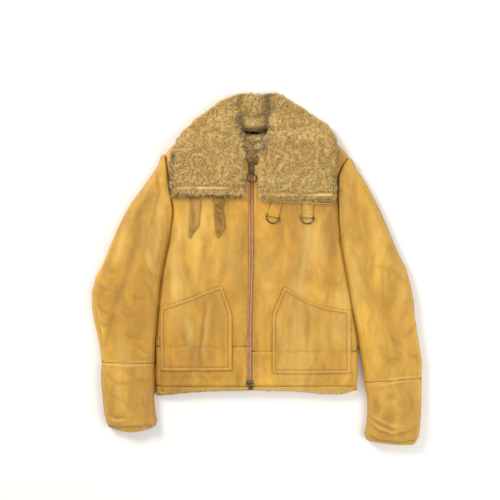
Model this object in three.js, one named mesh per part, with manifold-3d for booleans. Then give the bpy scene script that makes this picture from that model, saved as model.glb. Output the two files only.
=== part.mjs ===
// A shearling flight jacket, laid flat on its back with its front up and its collar spread open.
// Millimetres. +X is to the right seen from above, +Y runs towards the collar, +Z is up.
// The jacket rests on z = 0. Every panel is a wall between an upper and a lower surface,
// built on rows that run across it, and what lies on a panel is cut by that panel, moved out.

import * as THREE from 'three';
import { mergeVertices } from 'three/addons/utils/BufferGeometryUtils.js';
import Module from 'manifold-3d';

const wasm = await Module();
wasm.setup();

// Walls: skin with its wool, pressed thin at a folded edge and full inside it
const seamGap = 0.3;
// how far a panel's underside starts inside the panel below, which then cuts it back
const sunk = 1;
const seamShare = 0.3;
const foldedReach = 1.35;
const backWall = { edge: 4, loft: 8, radius: 20 };
const frontWall = { edge: 5, loft: 12, radius: 26, crown: 5 };
const underSleeveWall = { edge: 5, loft: 9, radius: 20 };
const topSleeveWall = { edge: 6, loft: 13, radius: 30, crown: 5 };
const collarWall = { edge: 7, loft: 12, innerRadius: 16, outerRadius: 14, endRadius: 13 };
const seamDip = { depth: 2.2, half: 5 };

// Heights of the low, free underside of the collar beyond the shoulders
const collarBase = { floor: 5, onBody: 27, outside: 45, span: 95 };
const collarUnderside = { height: 9, reach: 25 };

// Leather trims
const leather = 3;
const strap = { edge: 1.2, edgeShare: 0.7 };

// Zip, with its teeth lying on a ledge below the edges of the two fronts
const zip = { ledgeDepth: 5.5, toLeft: 8, toRight: 5.5, teethHalf: 3.4, teethHeight: 3, tape: 1.2 };
const tapeClear = 0.7;
const neckFoot = 243;
const ledgeTop = 250;
const zipTop = 226;
const zipBottom = -263;
const slider = { width: 12.4, length: 16.4, height: 7, eyeY: 223, eyeHole: 1.9, eyeWall: 1.5, eyeWidth: 3.4 };
const pullRing = { radius: 10.3, wire: 1.2 };
const stud = { y: -270, radius: 7.3, stem: 4.2, height: 4 };

// Throat rings: a straight bar in the eye of a leather tab, and a bow below it
const ring = { wire: 1.5, halfWidth: 15, corner: 2.5, side: 2.5, bow: 13 };
const tab = { width: 25, ply: 1.5, hole: 2, length: 46, clear: 0.5 };
const tabs = [
  { name: 'a', x: 38.5, y: 124, topX: 47, topY: 157 },
  { name: 'b', x: 118, y: 123, topX: 120, topY: 157 },
];

// Outline of the body: the armhole seams above the underarm, the folded sides below it
const underarmY = 70;
const body = [
  { y: 325, left: -127, right: 122 },
  { y: 311, left: -162, right: 160 },
  { y: 297, left: -191, right: 186 },
  { y: 283, left: -209, right: 202 },
  { y: 269, left: -217, right: 215 },
  { y: 250, left: -212, right: 210 },
  { y: 234, left: -211, right: 196 },
  { y: 201, left: -208, right: 191 },
  { y: 168, left: -202, right: 191 },
  { y: 137, left: -198, right: 193 },
  { y: 102, left: -202, right: 194 },
  { y: 67, left: -207, right: 197 },
  { y: 29, left: -215, right: 203 },
  { y: -12, left: -223, right: 210 },
  { y: -59, left: -228, right: 219 },
  { y: -109, left: -234, right: 227 },
  { y: -149, left: -236, right: 234 },
  { y: -184, left: -238, right: 238 },
  { y: -215, left: -238, right: 239 },
  { y: -250, left: -238, right: 239 },
  { y: -278, left: -237, right: 237 },
];

// Upper front edges, which part above the zip to make the neck
const neckEdge = [
  { y: 325, left: -73, right: 70 },
  { y: 311, left: -63, right: 61 },
  { y: 297, left: -52, right: 47 },
  { y: 283, left: -42, right: 33 },
  { y: 269, left: -33, right: 19 },
  { y: 255, left: -26, right: 8 },
  { y: 243, left: -21, right: 1 },
];

// Middle of the zip
const zipLine = [
  { y: 243, x: -12.5 },
  { y: 173, x: -12 },
  { y: 20, x: -11 },
  { y: -112, x: -15 },
  { y: -184, x: -16 },
  { y: -278, x: -16 },
];

const waist = { left: -184, right: -195 };
const bindingTop = -278;
const hem = [
  { x: -237, y: -301 },
  { x: -190, y: -297 },
  { x: -148, y: -293 },
  { x: -80, y: -290 },
  { x: -10, y: -289 },
  { x: 93, y: -291 },
  { x: 162, y: -298 },
  { x: 204, y: -298 },
  { x: 237, y: -287 },
];

// Sleeves: one row for each section, from the shoulder to the cuff seam
const leftSleeve = [
  { outX: -227, outY: 268, inX: -218, inY: 269, seam: 0 },
  { outX: -235, outY: 243, inX: -212, inY: 241, seam: 2 },
  { outX: -257, outY: 211, inX: -208, inY: 201, seam: 4 },
  { outX: -276, outY: 184, inX: -203, inY: 168, seam: 5 },
  { outX: -297, outY: 157, inX: -199, inY: 137, seam: 6 },
  { outX: -313, outY: 130, inX: -201, inY: 112, seam: 7 },
  { outX: -331, outY: 93, inX: -205, inY: 79, seam: 8 },
  { outX: -348, outY: 53, inX: -214, inY: 39, seam: 8 },
  { outX: -363, outY: 14, inX: -221, inY: 1, seam: 9 },
  { outX: -382, outY: -21, inX: -227, inY: -34, seam: 9 },
  { outX: -391, outY: -58, inX: -230, inY: -66, seam: 9 },
  { outX: -390.5, outY: -92, inX: -233, inY: -100, seam: 11 },
  { outX: -386, outY: -123, inX: -235, inY: -130, seam: 13 },
  { outX: -378, outY: -156, inX: -238.5, inY: -161, seam: 13 },
  { outX: -372, outY: -189, inX: -240.5, inY: -193, seam: 9 },
  { outX: -368, outY: -221, inX: -241, inY: -223, seam: 6 },
];
const rightSleeve = [
  { outX: 227, outY: 254, inX: 218, inY: 262, seam: 0 },
  { outX: 236, outY: 235, inX: 203, inY: 243, seam: 1 },
  { outX: 250, outY: 214, inX: 194, inY: 222, seam: 1 },
  { outX: 264, outY: 192, inX: 191, inY: 196, seam: 1 },
  { outX: 278, outY: 164, inX: 191, inY: 168, seam: 1 },
  { outX: 293, outY: 135, inX: 193, inY: 137, seam: 1 },
  { outX: 307, outY: 102, inX: 194, inY: 105, seam: 1 },
  { outX: 322, outY: 66, inX: 197, inY: 69, seam: 1 },
  { outX: 337, outY: 31, inX: 203, inY: 32, seam: 1 },
  { outX: 354, outY: -1, inX: 209.5, inY: -5, seam: 1 },
  { outX: 364, outY: -39, inX: 216.5, inY: -43, seam: 1 },
  { outX: 371, outY: -75, inX: 222.5, inY: -76, seam: 1 },
  { outX: 374, outY: -114, inX: 229, inY: -117, seam: 1 },
  { outX: 380, outY: -152, inX: 236, inY: -153, seam: 1 },
  { outX: 386, outY: -187, inX: 243, inY: -193, seam: 1 },
  { outX: 391, outY: -220, inX: 249, inY: -230, seam: 1 },
  { outX: 390, outY: -258, inX: 253, inY: -268, seam: 1 },
];
const leftCuff = [
  { outX: -368, outY: -221.35, inX: -241, inY: -223.35, bow: 0 },
  { outX: -369, outY: -263, inX: -240.5, inY: -264, bow: 1 },
  { outX: -365, outY: -309, inX: -243, inY: -309, bow: 2 },
  { outX: -361, outY: -344, inX: -240, inY: -343, bow: 3 },
  { outX: -356, outY: -363, inX: -236, inY: -359, bow: 7 },
  { outX: -350, outY: -374, inX: -240, inY: -372, bow: 13 },
];
const rightCuff = [
  { outX: 390, outY: -258.35, inX: 253, inY: -268.35, bow: 0 },
  { outX: 389, outY: -309, inX: 261, inY: -311, bow: 1 },
  { outX: 388, outY: -342, inX: 261, inY: -344, bow: 2 },
  { outX: 386, outY: -374, inX: 259, inY: -370, bow: 2 },
  { outX: 383, outY: -398, inX: 254, inY: -390, bow: 3 },
  { outX: 372, outY: -415, inX: 258, inY: -404, bow: 5 },
];

// Collar: ribs from the left leaf's short front edge, round the back, to the right leaf's.
// lift raises a rib, and roll raises its inner end where the collar turns over.
const collar = [
  { inX: -31, inY: 168, outX: -201, outY: 170, lift: 0, roll: 0 },
  { inX: -29, inY: 173, outX: -203, outY: 175, lift: 0, roll: 1 },
  { inX: -27, inY: 182, outX: -203.5, outY: 185, lift: 0, roll: 2 },
  { inX: -26, inY: 191, outX: -204, outY: 195, lift: -3, roll: 3 },
  { inX: -25.5, inY: 200, outX: -204, outY: 206, lift: 0, roll: 4 },
  { inX: -25.3, inY: 215, outX: -204, outY: 224, lift: 0, roll: 5 },
  { inX: -25, inY: 239, outX: -204, outY: 253, lift: 0, roll: 5 },
  { inX: -27, inY: 262, outX: -203, outY: 276, lift: 0, roll: 5 },
  { inX: -31, inY: 283, outX: -193, outY: 295, lift: 0, roll: 6 },
  { inX: -33, inY: 301, outX: -184, outY: 314, lift: 0, roll: 8 },
  { inX: -35, inY: 314, outX: -167, outY: 335, lift: 1, roll: 11 },
  { inX: -37, inY: 322, outX: -141, outY: 357, lift: 3, roll: 13 },
  { inX: -38.4, inY: 325, outX: -108, outY: 382, lift: 5, roll: 13 },
  { inX: -39, inY: 327.5, outX: -85, outY: 400, lift: 6, roll: 12 },
  { inX: -38, inY: 329.5, outX: -61, outY: 409, lift: 6, roll: 11 },
  { inX: -34, inY: 329, outX: -42, outY: 414, lift: -4, roll: 7 },
  { inX: -26, inY: 326, outX: -26, outY: 416, lift: 2, roll: 3 },
  { inX: -14, inY: 325, outX: -12, outY: 415.5, lift: 4, roll: 3 },
  { inX: -2, inY: 325, outX: 2, outY: 413, lift: 4, roll: 3 },
  { inX: 9, inY: 325, outX: 15, outY: 411, lift: 1, roll: 3 },
  { inX: 20, inY: 327, outX: 28, outY: 412, lift: -6, roll: 5 },
  { inX: 25, inY: 329, outX: 42, outY: 414, lift: 2, roll: 8 },
  { inX: 26.6, inY: 327.5, outX: 58, outY: 411, lift: 6, roll: 11 },
  { inX: 26.4, inY: 324.5, outX: 85, outY: 395, lift: 6, roll: 12 },
  { inX: 25.4, inY: 319.5, outX: 113, outY: 377, lift: 5, roll: 13 },
  { inX: 22.5, inY: 311, outX: 143, outY: 357, lift: 3, roll: 12 },
  { inX: 17, inY: 300, outX: 172, outY: 336, lift: 1, roll: 11 },
  { inX: 12, inY: 282, outX: 187, outY: 309, lift: 0, roll: 8 },
  { inX: 7.5, inY: 261, outX: 190, outY: 278, lift: 0, roll: 6 },
  { inX: 5.5, inY: 239, outX: 191, outY: 255, lift: 0, roll: 5 },
  { inX: 5, inY: 215, outX: 186, outY: 227, lift: 0, roll: 5 },
  { inX: 5.3, inY: 196, outX: 186.5, outY: 200, lift: 0, roll: 4 },
  { inX: 5.6, inY: 184, outX: 187, outY: 188, lift: 0, roll: 3 },
  { inX: 6, inY: 175, outX: 187.5, outY: 178, lift: -3, roll: 2 },
  { inX: 7, inY: 168, outX: 186, outY: 168, lift: 0, roll: 1 },
  { inX: 10, inY: 161, outX: 178, outY: 157, lift: 0, roll: 0 },
];
const standGroove = { y: 363, depth: 4, half: 7, fromX: -32, toX: 20 };

// Patch pockets: columns from the side to the zip, with the slanted upper edge
const leftPocket = [
  { x: -228, top: -92, bottom: -240 },
  { x: -226, top: -90, bottom: -240.5 },
  { x: -205, top: -85, bottom: -241 },
  { x: -181, top: -77, bottom: -241 },
  { x: -157, top: -69, bottom: -240.5 },
  { x: -138, top: -61, bottom: -240 },
  { x: -120, top: -53, bottom: -240 },
  { x: -101, top: -46, bottom: -239.5 },
  { x: -83, top: -40, bottom: -239 },
  { x: -76, top: -57, bottom: -239 },
  { x: -67, top: -82, bottom: -239 },
  { x: -60, top: -103, bottom: -239 },
  { x: -58.5, top: -112, bottom: -239 },
];
const rightPocket = [
  { x: 35.5, top: -118, bottom: -246 },
  { x: 37, top: -105, bottom: -246 },
  { x: 46, top: -83, bottom: -246.5 },
  { x: 55, top: -62, bottom: -246.5 },
  { x: 64, top: -41, bottom: -247 },
  { x: 84, top: -54, bottom: -247 },
  { x: 103, top: -66, bottom: -247 },
  { x: 123, top: -76, bottom: -246.5 },
  { x: 142, top: -83, bottom: -246.5 },
  { x: 162, top: -89, bottom: -246 },
  { x: 192, top: -95, bottom: -246 },
  { x: 219, top: -98, bottom: -246 },
  { x: 221, top: -99, bottom: -246 },
];

// Throat straps: rows from under the collar to the point
const strapA = [
  { y: 177, left: -155.5, right: -130, lift: 0 },
  { y: 166, left: -156, right: -130.5, lift: 0 },
  { y: 148, left: -157, right: -132, lift: 0.6 },
  { y: 128, left: -158, right: -133.5, lift: 0.3 },
  { y: 107, left: -159, right: -135, lift: 0 },
  { y: 100, left: -159.3, right: -137, lift: 0 },
  { y: 85, left: -159.8, right: -148, lift: 0.4 },
  { y: 71, left: -160, right: -158, lift: 0.8 },
];
const strapB = [
  { y: 175, left: -102, right: -75, lift: 0 },
  { y: 165, left: -102, right: -75, lift: 0.6 },
  { y: 156, left: -101, right: -78, lift: 2.5 },
  { y: 148, left: -98.5, right: -83, lift: 4 },
  { y: 139, left: -99, right: -81, lift: 2.2 },
  { y: 125, left: -101, right: -77, lift: 0.6 },
  { y: 96, left: -97, right: -73.5, lift: 0 },
  { y: 84, left: -95.6, right: -82, lift: 0.4 },
  { y: 71, left: -94.4, right: -92.6, lift: 0.8 },
];

// Largest folds, each a soft trough from one point to another
const bodyFolds = [
  { x1: -114, y1: 62, x2: -121, y2: -22, depth: 3.2, half: 13 },
  { x1: 176, y1: 128, x2: 172, y2: 20, depth: 3.4, half: 15 },
  { x1: -190, y1: 60, x2: -196, y2: -70, depth: 2, half: 12 },
  { x1: 130, y1: 30, x2: 96, y2: -28, depth: 1.6, half: 12 },
];
const leftSleeveFolds = [
  { x1: -230, y1: 215, x2: -234, y2: 165, depth: 3.2, half: 9 },
  { x1: -238, y1: 160, x2: -278, y2: 118, depth: 2.4, half: 9 },
  { x1: -280, y1: 105, x2: -306, y2: -4, depth: 4, half: 11 },
  { x1: -312, y1: -30, x2: -340, y2: -95, depth: 3.4, half: 10 },
  { x1: -342, y1: -112, x2: -352, y2: -170, depth: 2.6, half: 9 },
];
const rightSleeveFolds = [
  { x1: 322, y1: 2, x2: 350, y2: -36, depth: 2.2, half: 9 },
  { x1: 344, y1: -150, x2: 378, y2: -128, depth: 2.2, half: 9 },
  { x1: 240, y1: 150, x2: 262, y2: 60, depth: 2.4, half: 13 },
  { x1: 282, y1: -60, x2: 300, y2: -170, depth: 1.8, half: 13 },
];

// Colours
const golden = { color: 0xc98f35, roughness: 0.5, metalness: 0 };
const goldenDark = { color: 0xb07a2a, roughness: 0.55, metalness: 0 };
const wool = { color: 0xc2934f, roughness: 0.95, metalness: 0 };
const salmon = { color: 0xc8733f, roughness: 0.8, metalness: 0 };
const black = { color: 0x17140f, roughness: 0.85, metalness: 0 };
const greyMetal = { color: 0x6b665f, roughness: 0.4, metalness: 1 };
const paleMetal = { color: 0xb79d94, roughness: 0.45, metalness: 1 };

function mix(a, b, t) {
  return a + (b - a) * t;
}

function smooth(t) {
  const k = Math.min(1, Math.max(0, t));
  return k * k * (3 - 2 * k);
}

// Quarter round: 0 at an edge, 1 one radius inside it
function roundedRise(t) {
  const k = 1 - Math.min(1, Math.max(0, t));
  return Math.sqrt(1 - k * k);
}

// A table's column at height y, the rows running down from the collar
function columnAt(rows, column, y) {
  const last = rows.length - 1;
  if (y >= rows[0].y) return rows[0][column];
  if (y <= rows[last].y) return rows[last][column];
  let k = 0;
  while (rows[k + 1].y > y) k += 1;
  return mix(rows[k][column], rows[k + 1][column], (rows[k].y - y) / (rows[k].y - rows[k + 1].y));
}

function hemAt(x) {
  const last = hem.length - 1;
  if (x <= hem[0].x) return hem[0].y;
  if (x >= hem[last].x) return hem[last].y;
  let k = 0;
  while (hem[k + 1].x < x) k += 1;
  return mix(hem[k].y, hem[k + 1].y, (x - hem[k].x) / (hem[k + 1].x - hem[k].x));
}

// Where (x, y) lies along the stretch from p to q, and how far from it
function nearStretch(x, y, p, q) {
  const dx = q.x - p.x;
  const dy = q.y - p.y;
  const along = ((x - p.x) * dx + (y - p.y) * dy) / (dx * dx + dy * dy);
  const k = Math.min(1, Math.max(0, along));
  return { along: k, away: Math.hypot(x - p.x - dx * k, y - p.y - dy * k) };
}

function distanceTo(paths, x, y) {
  let nearest = Infinity;
  for (const path of paths) {
    for (let k = 0; k + 1 < path.length; k += 1) {
      nearest = Math.min(nearest, nearStretch(x, y, path[k], path[k + 1]).away);
    }
  }
  return nearest;
}

// Sum of the soft troughs of a table of folds
function foldDepth(folds, x, y) {
  let depth = 0;
  for (const fold of folds) {
    const near = nearStretch(x, y, { x: fold.x1, y: fold.y1 }, { x: fold.x2, y: fold.y2 });
    depth += fold.depth * Math.exp(-((near.away / fold.half) ** 2));
  }
  return depth;
}

function dipAlong(paths, x, y) {
  return seamDip.depth * Math.exp(-((distanceTo(paths, x, y) / seamDip.half) ** 2));
}

function edgePath(rows, xColumn, yColumn) {
  return rows.map((row) => ({ x: row[xColumn], y: row[yColumn] }));
}

// Folded edges and seams of the body
const belowArm = body.filter((row) => row.y < underarmY);
const aboveArm = body.filter((row) => row.y > underarmY - 10 && row.y < 272);
const leftSide = [...edgePath(belowArm, 'left', 'y'), hem[0]];
const rightSide = [...edgePath(belowArm, 'right', 'y'), hem[hem.length - 1]];
const shoulders = [
  ...edgePath(body.slice(0, 5).reverse(), 'left', 'y'),
  ...edgePath(body.slice(0, 5), 'right', 'y'),
];
const bodyFoldedEdges = [leftSide, rightSide, hem, shoulders];
const armholeLeft = edgePath(aboveArm, 'left', 'y');
const armholeRight = edgePath(aboveArm, 'right', 'y');
const waistSeamLeft = [{ x: -238, y: waist.left }, { x: -16, y: waist.left }];
const waistSeamRight = [{ x: -11, y: waist.right }, { x: 239, y: waist.right }];
const bindingSeam = [{ x: -237, y: bindingTop }, { x: 237, y: bindingTop }];
const bodySeams = [armholeLeft, armholeRight, waistSeamLeft, waistSeamRight, bindingSeam];

function backHeight(x, y) {
  return backWall.edge + backWall.loft * roundedRise(distanceTo(bodyFoldedEdges, x, y) / backWall.radius);
}

// The front without its seams and folds
function frontCushion(x, y) {
  const rise = roundedRise(distanceTo(bodyFoldedEdges, x, y) / frontWall.radius);
  const left = columnAt(body, 'left', y);
  const right = columnAt(body, 'right', y);
  const across = Math.min(1, Math.max(0, (x - left) / (right - left)));
  const crown = frontWall.crown * Math.sin(Math.PI * across);
  return backHeight(x, y) + seamGap + frontWall.edge + (frontWall.loft + crown) * rise;
}

function frontHeight(x, y) {
  return frontCushion(x, y) - foldDepth(bodyFolds, x, y) - dipAlong(bodySeams, x, y);
}

// Surfaces of one sleeve, from its rows, its cuff and its folds
function sleeveSurfaces(rows, cuffRows, folds) {
  const outer = [...edgePath(rows, 'outX', 'outY'), ...edgePath(cuffRows, 'outX', 'outY')];
  const lowRows = rows.filter((row) => row.inY < underarmY + 12);
  const inner = [...edgePath(lowRows, 'inX', 'inY'), ...edgePath(cuffRows, 'inX', 'inY')];
  const end = cuffRows[cuffRows.length - 1];
  const mouth = [{ x: end.outX, y: end.outY - 8 }, { x: end.inX, y: end.inY - 8 }];
  const folded = [outer, inner, mouth];
  const armhole = edgePath(rows.filter((row) => row.inY > underarmY - 10), 'inX', 'inY');
  const start = cuffRows[0];
  const cuffSeam = [{ x: start.outX, y: start.outY }, { x: start.inX, y: start.inY }];
  function middle(x, y) {
    const rise = roundedRise(distanceTo(folded, x, y) / underSleeveWall.radius);
    return underSleeveWall.edge + underSleeveWall.loft * rise;
  }
  function upper(x, y) {
    const rise = roundedRise(distanceTo(folded, x, y) / topSleeveWall.radius);
    const crown = topSleeveWall.crown * smooth(distanceTo([outer], x, y) / 70);
    const cushion = middle(x, y) + seamGap + topSleeveWall.edge + (topSleeveWall.loft + crown) * rise;
    return cushion - foldDepth(folds, x, y) - dipAlong([armhole, cuffSeam], x, y);
  }
  return { middle, upper };
}

const leftArm = sleeveSurfaces(leftSleeve, leftCuff, leftSleeveFolds);
const rightArm = sleeveSurfaces(rightSleeve, rightCuff, rightSleeveFolds);

// Places across a row: set distances in from each end, then even spaces between
function placesAcross(width, stepsA, stepsB, between) {
  const reach = stepsA[stepsA.length - 1] + stepsB[stepsB.length - 1];
  const scale = Math.min(1, width / (reach * foldedReach));
  const places = stepsA.map((step) => step * scale);
  const start = places[places.length - 1];
  const end = width - stepsB[stepsB.length - 1] * scale;
  for (let k = 1; k <= between; k += 1) places.push(mix(start, end, k / (between + 1)));
  for (let k = stepsB.length - 1; k >= 0; k -= 1) places.push(width - stepsB[k] * scale);
  return places;
}

// Closed body from rows of posts, each with an upper and a lower point
function bodyFromPosts(rows) {
  const count = rows.length;
  const across = rows[0].length;
  const positions = [];
  for (const row of rows) for (const post of row) positions.push(...post.upper);
  for (const row of rows) for (const post of row) positions.push(...post.lower);
  const lowStart = count * across;
  const faces = [];
  const quad = (a, b, c, d) => faces.push(a, b, c, a, c, d);
  for (let i = 0; i + 1 < count; i += 1) {
    for (let j = 0; j + 1 < across; j += 1) {
      const a = i * across + j;
      const b = a + across;
      quad(a, b, b + 1, a + 1);
      quad(lowStart + a, lowStart + a + 1, lowStart + b + 1, lowStart + b);
    }
  }
  const rim = [];
  for (let j = 0; j < across; j += 1) rim.push(j);
  for (let i = 1; i < count; i += 1) rim.push(i * across + across - 1);
  for (let j = across - 2; j >= 0; j -= 1) rim.push((count - 1) * across + j);
  for (let i = count - 2; i >= 1; i -= 1) rim.push(i * across);
  for (let k = 0; k < rim.length; k += 1) {
    const a = rim[k];
    const b = rim[(k + 1) % rim.length];
    quad(a, b, lowStart + b, lowStart + a);
  }
  return outward(positions, faces);
}

// Geometry with its faces turned outwards
function outward(positions, faces) {
  const p = (k) => new THREE.Vector3().fromArray(positions, k * 3);
  let volume = 0;
  for (let k = 0; k < faces.length; k += 3) {
    volume += p(faces[k]).dot(p(faces[k + 1]).cross(p(faces[k + 2])));
  }
  const turned = [];
  for (let k = 0; k < faces.length; k += 3) {
    if (volume > 0) turned.push(faces[k], faces[k + 1], faces[k + 2]);
    else turned.push(faces[k], faces[k + 2], faces[k + 1]);
  }
  const geometry = new THREE.BufferGeometry();
  geometry.setAttribute('position', new THREE.Float32BufferAttribute(positions, 3));
  geometry.setIndex(turned);
  return geometry;
}

// A panel between the ends a and b of its rows. grow moves every face of it out, for cutting
// what lies on it, and tuck draws its lower edges in.
function panel({ rows, stepsA, stepsB, between, upper, lower, tuck = 0 }, grow = 0) {
  const stations = rows.map((row) => ({ ...row }));
  if (grow > 0) {
    const last = stations.length - 1;
    for (const station of stations) {
      const width = Math.hypot(station.bx - station.ax, station.by - station.ay);
      const stepX = ((station.bx - station.ax) / width) * grow;
      const stepY = ((station.by - station.ay) / width) * grow;
      Object.assign(station, { ax: station.ax - stepX, ay: station.ay - stepY });
      Object.assign(station, { bx: station.bx + stepX, by: station.by + stepY });
    }
    for (const [end, next] of [[stations[0], stations[1]], [stations[last], stations[last - 1]]]) {
      const length = Math.hypot(end.ax - next.ax, end.ay - next.ay);
      const stepX = ((end.ax - next.ax) / length) * grow;
      const stepY = ((end.ay - next.ay) / length) * grow;
      Object.assign(end, { ax: end.ax + stepX, ay: end.ay + stepY });
      Object.assign(end, { bx: end.bx + stepX, by: end.by + stepY });
    }
  }
  const posts = rows.map((row, index) => {
    const width = Math.hypot(row.bx - row.ax, row.by - row.ay);
    const moved = stations[index];
    const bow = row.bow || 0;
    return placesAcross(width, stepsA, stepsB, between).map((place) => {
      const u = place / width;
      const drop = bow * 4 * u * (1 - u);
      const x = mix(row.ax, row.bx, u);
      const y = mix(row.ay, row.by, u) - drop;
      const low = mix(tuck, width - tuck, u) / width;
      const context = { fromA: place, fromB: width - place, row, index };
      const top = upper(x, y, context) + grow;
      const bottom = grow > 0 ? -4 : lower(x, y, context);
      return {
        upper: [mix(moved.ax, moved.bx, u), mix(moved.ay, moved.by, u) - drop, top],
        lower: [mix(moved.ax, moved.bx, low), mix(moved.ay, moved.by, low) - drop, bottom],
      };
    });
  });
  return bodyFromPosts(posts);
}

// Solids for cutting
function toSolid(geometry) {
  const plain = geometry.clone();
  plain.deleteAttribute('normal');
  plain.deleteAttribute('uv');
  const merged = mergeVertices(plain, 1e-4);
  const mesh = new wasm.Mesh({
    numProp: 3,
    vertProperties: new Float32Array(merged.attributes.position.array),
    triVerts: new Uint32Array(merged.index.array),
  });
  return new wasm.Manifold(mesh);
}

function fromSolid(solid) {
  const mesh = solid.getMesh();
  const geometry = new THREE.BufferGeometry();
  geometry.setAttribute('position', new THREE.BufferAttribute(new Float32Array(mesh.vertProperties), 3));
  geometry.setIndex(Array.from(mesh.triVerts));
  return geometry;
}

// What is left of a piece after the cuts, without loose crumbs
function cutBy(geometry, cutters) {
  const left = cutters.reduce((solid, cutter) => solid.subtract(cutter), toSolid(geometry));
  const parts = left.decompose();
  parts.sort((a, b) => b.volume() - a.volume());
  return fromSolid(parts[0]);
}

const jacket = new THREE.Group();

function add(name, geometry, finish) {
  const mesh = new THREE.Mesh(geometry, new THREE.MeshStandardMaterial(finish));
  mesh.name = name;
  jacket.add(mesh);
  return mesh;
}

// A panel that later pieces lie on: its mesh now, and its grown form to cut them by
const carriers = {};
function addCarrier(name, description, finish, below = []) {
  const geometry = panel(description);
  add(name, below.length ? cutBy(geometry, below) : geometry, finish);
  carriers[name] = toSolid(panel(description, seamGap));
}

// Back: lies on the floor under the whole body
const chestRows = [201, 168, 137, 102, 67, 29, -12, -59, -109, -149];
const backRows = [325, 318, 311, 297, 283, 269, 250, 234, ...chestRows, -184, -215, -250];
addCarrier('back_panel', {
  rows: [...backRows, bindingTop + seamGap].map((y) => ({
    ax: columnAt(body, 'left', y) + seamGap,
    ay: y,
    bx: columnAt(body, 'right', y) - seamGap,
    by: y,
  })),
  stepsA: [0, 3, 9, 20],
  stepsB: [0, 3, 9, 20],
  between: 4,
  upper: backHeight,
  lower: () => 0,
  tuck: 2.5,
}, golden);

// Rows of a front piece between two heights
const foldSteps = [0, 2, 8, 18, 30];
const zipSideSteps = (ledge) => [0, ledge - seamGap, ledge, ledge + 3, ledge + 9, ledge + 20];
function frontRows(side, heights, inset) {
  return heights.map((y) => {
    const zipX = columnAt(zipLine, 'x', y);
    if (side === 'left') {
      const inner = Math.min(zipX, columnAt(neckEdge, 'left', y) + zip.toLeft);
      const edge = y > neckFoot ? columnAt(neckEdge, 'left', y) : inner - seamGap / 2;
      return { ax: edge, ay: y, bx: columnAt(body, 'left', y) + inset, by: y };
    }
    const edge = y > neckFoot ? columnAt(neckEdge, 'right', y) : zipX + seamGap / 2;
    return { ax: edge, ay: y, bx: columnAt(body, 'right', y) - inset, by: y };
  });
}

// The zip's ledge: as deep as ledgeDepth beside the teeth, closing above the slider
function frontUpper(ledge) {
  return (x, y, context) => {
    const onLedge = context.fromA < ledge - seamGap / 2 && y < ledgeTop;
    return frontHeight(x, y) - (onLedge ? zip.ledgeDepth : 0);
  };
}

function frontPiece(side, heights) {
  const ledge = side === 'left' ? zip.toLeft : zip.toRight;
  return {
    rows: frontRows(side, heights, seamGap / 2),
    stepsA: zipSideSteps(ledge),
    stepsB: foldSteps,
    between: 4,
    upper: frontUpper(ledge),
    lower: (x, y) => backHeight(x, y) - sunk,
  };
}

const upperRows = [325, 311, 297, 283, 269, 250, 244, 242, 222, ...chestRows, -176];
const lowerRows = [-215, -250, -272];
const upperLeftRows = [...upperRows, waist.left + seamGap / 2];
const upperRightRows = [...upperRows, waist.right + seamGap / 2];
const bandLeftRows = [waist.left - seamGap / 2, waist.left - 7, ...lowerRows, bindingTop + seamGap / 2];
const bandRightRows = [waist.right - seamGap / 2, waist.right - 7, ...lowerRows, bindingTop + seamGap / 2];
const onBack = [carriers.back_panel];
addCarrier('front_left', frontPiece('left', upperLeftRows), golden, onBack);
addCarrier('front_right', frontPiece('right', upperRightRows), golden, onBack);
addCarrier('waistband_left', frontPiece('left', bandLeftRows), golden, onBack);
addCarrier('waistband_right', frontPiece('right', bandRightRows), golden, onBack);

// Hem binding: a rounded strip that wraps the lower edge
function bindingRows(fromX, toX, count) {
  const rows = [];
  for (let k = 0; k <= count; k += 1) {
    const x = mix(fromX, toX, k / count);
    rows.push({ ax: x, ay: bindingTop - seamGap / 2, bx: x, by: hemAt(x) });
  }
  return rows;
}

function bindingPiece(fromX, toX, count) {
  return {
    rows: bindingRows(fromX, toX, count),
    stepsA: [0, 3],
    stepsB: [0, 1.5, 4],
    between: 0,
    upper: (x, y) => frontCushion(x, y) + 0.6,
    lower: (x, y) => backHeight(x, y) - sunk,
  };
}
addCarrier('hem_binding_back', {
  ...bindingPiece(-236.5, 236.5, 16),
  upper: backHeight,
  lower: () => 0,
}, goldenDark);
const onBackBinding = [carriers.hem_binding_back];
add('hem_binding_left', cutBy(panel(bindingPiece(-236.8, -20, 10)), onBackBinding), goldenDark);
add('hem_binding_right', cutBy(panel(bindingPiece(-10, 236.8, 11)), onBackBinding), goldenDark);

// Sleeves: the under sleeve lies on the floor and turns up over the outer edge to the back seam
const sleeveSteps = [0, 2, 8, 18, 32];
function sleeveRows(rows, part) {
  return rows.map((row) => {
    const width = Math.hypot(row.inX - row.outX, row.inY - row.outY);
    const ux = (row.inX - row.outX) / width;
    const uy = (row.inY - row.outY) / width;
    const skip = part === 'top' ? Math.min(row.seam || 0, width * seamShare) + seamGap : 0;
    const trim = row.bow === undefined && row.inY > underarmY ? seamGap : seamGap / 2;
    return {
      ax: row.outX + ux * skip,
      ay: row.outY + uy * skip,
      bx: row.inX - ux * trim,
      by: row.inY - uy * trim,
      bow: row.bow || 0,
      seam: Math.min(row.seam || 0, width * seamShare),
    };
  });
}

function topSleeve(rows, arm) {
  return {
    rows: sleeveRows(rows, 'top'),
    stepsA: sleeveSteps,
    stepsB: sleeveSteps,
    between: 2,
    upper: arm.upper,
    lower: (x, y) => arm.middle(x, y) - sunk,
  };
}

function underSleeve(rows, arm) {
  return {
    rows: sleeveRows(rows, 'under'),
    stepsA: [0, 6, 20],
    stepsB: [0, 6, 20],
    between: 2,
    upper: arm.middle,
    lower: () => 0,
    tuck: 2.5,
  };
}

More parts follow.
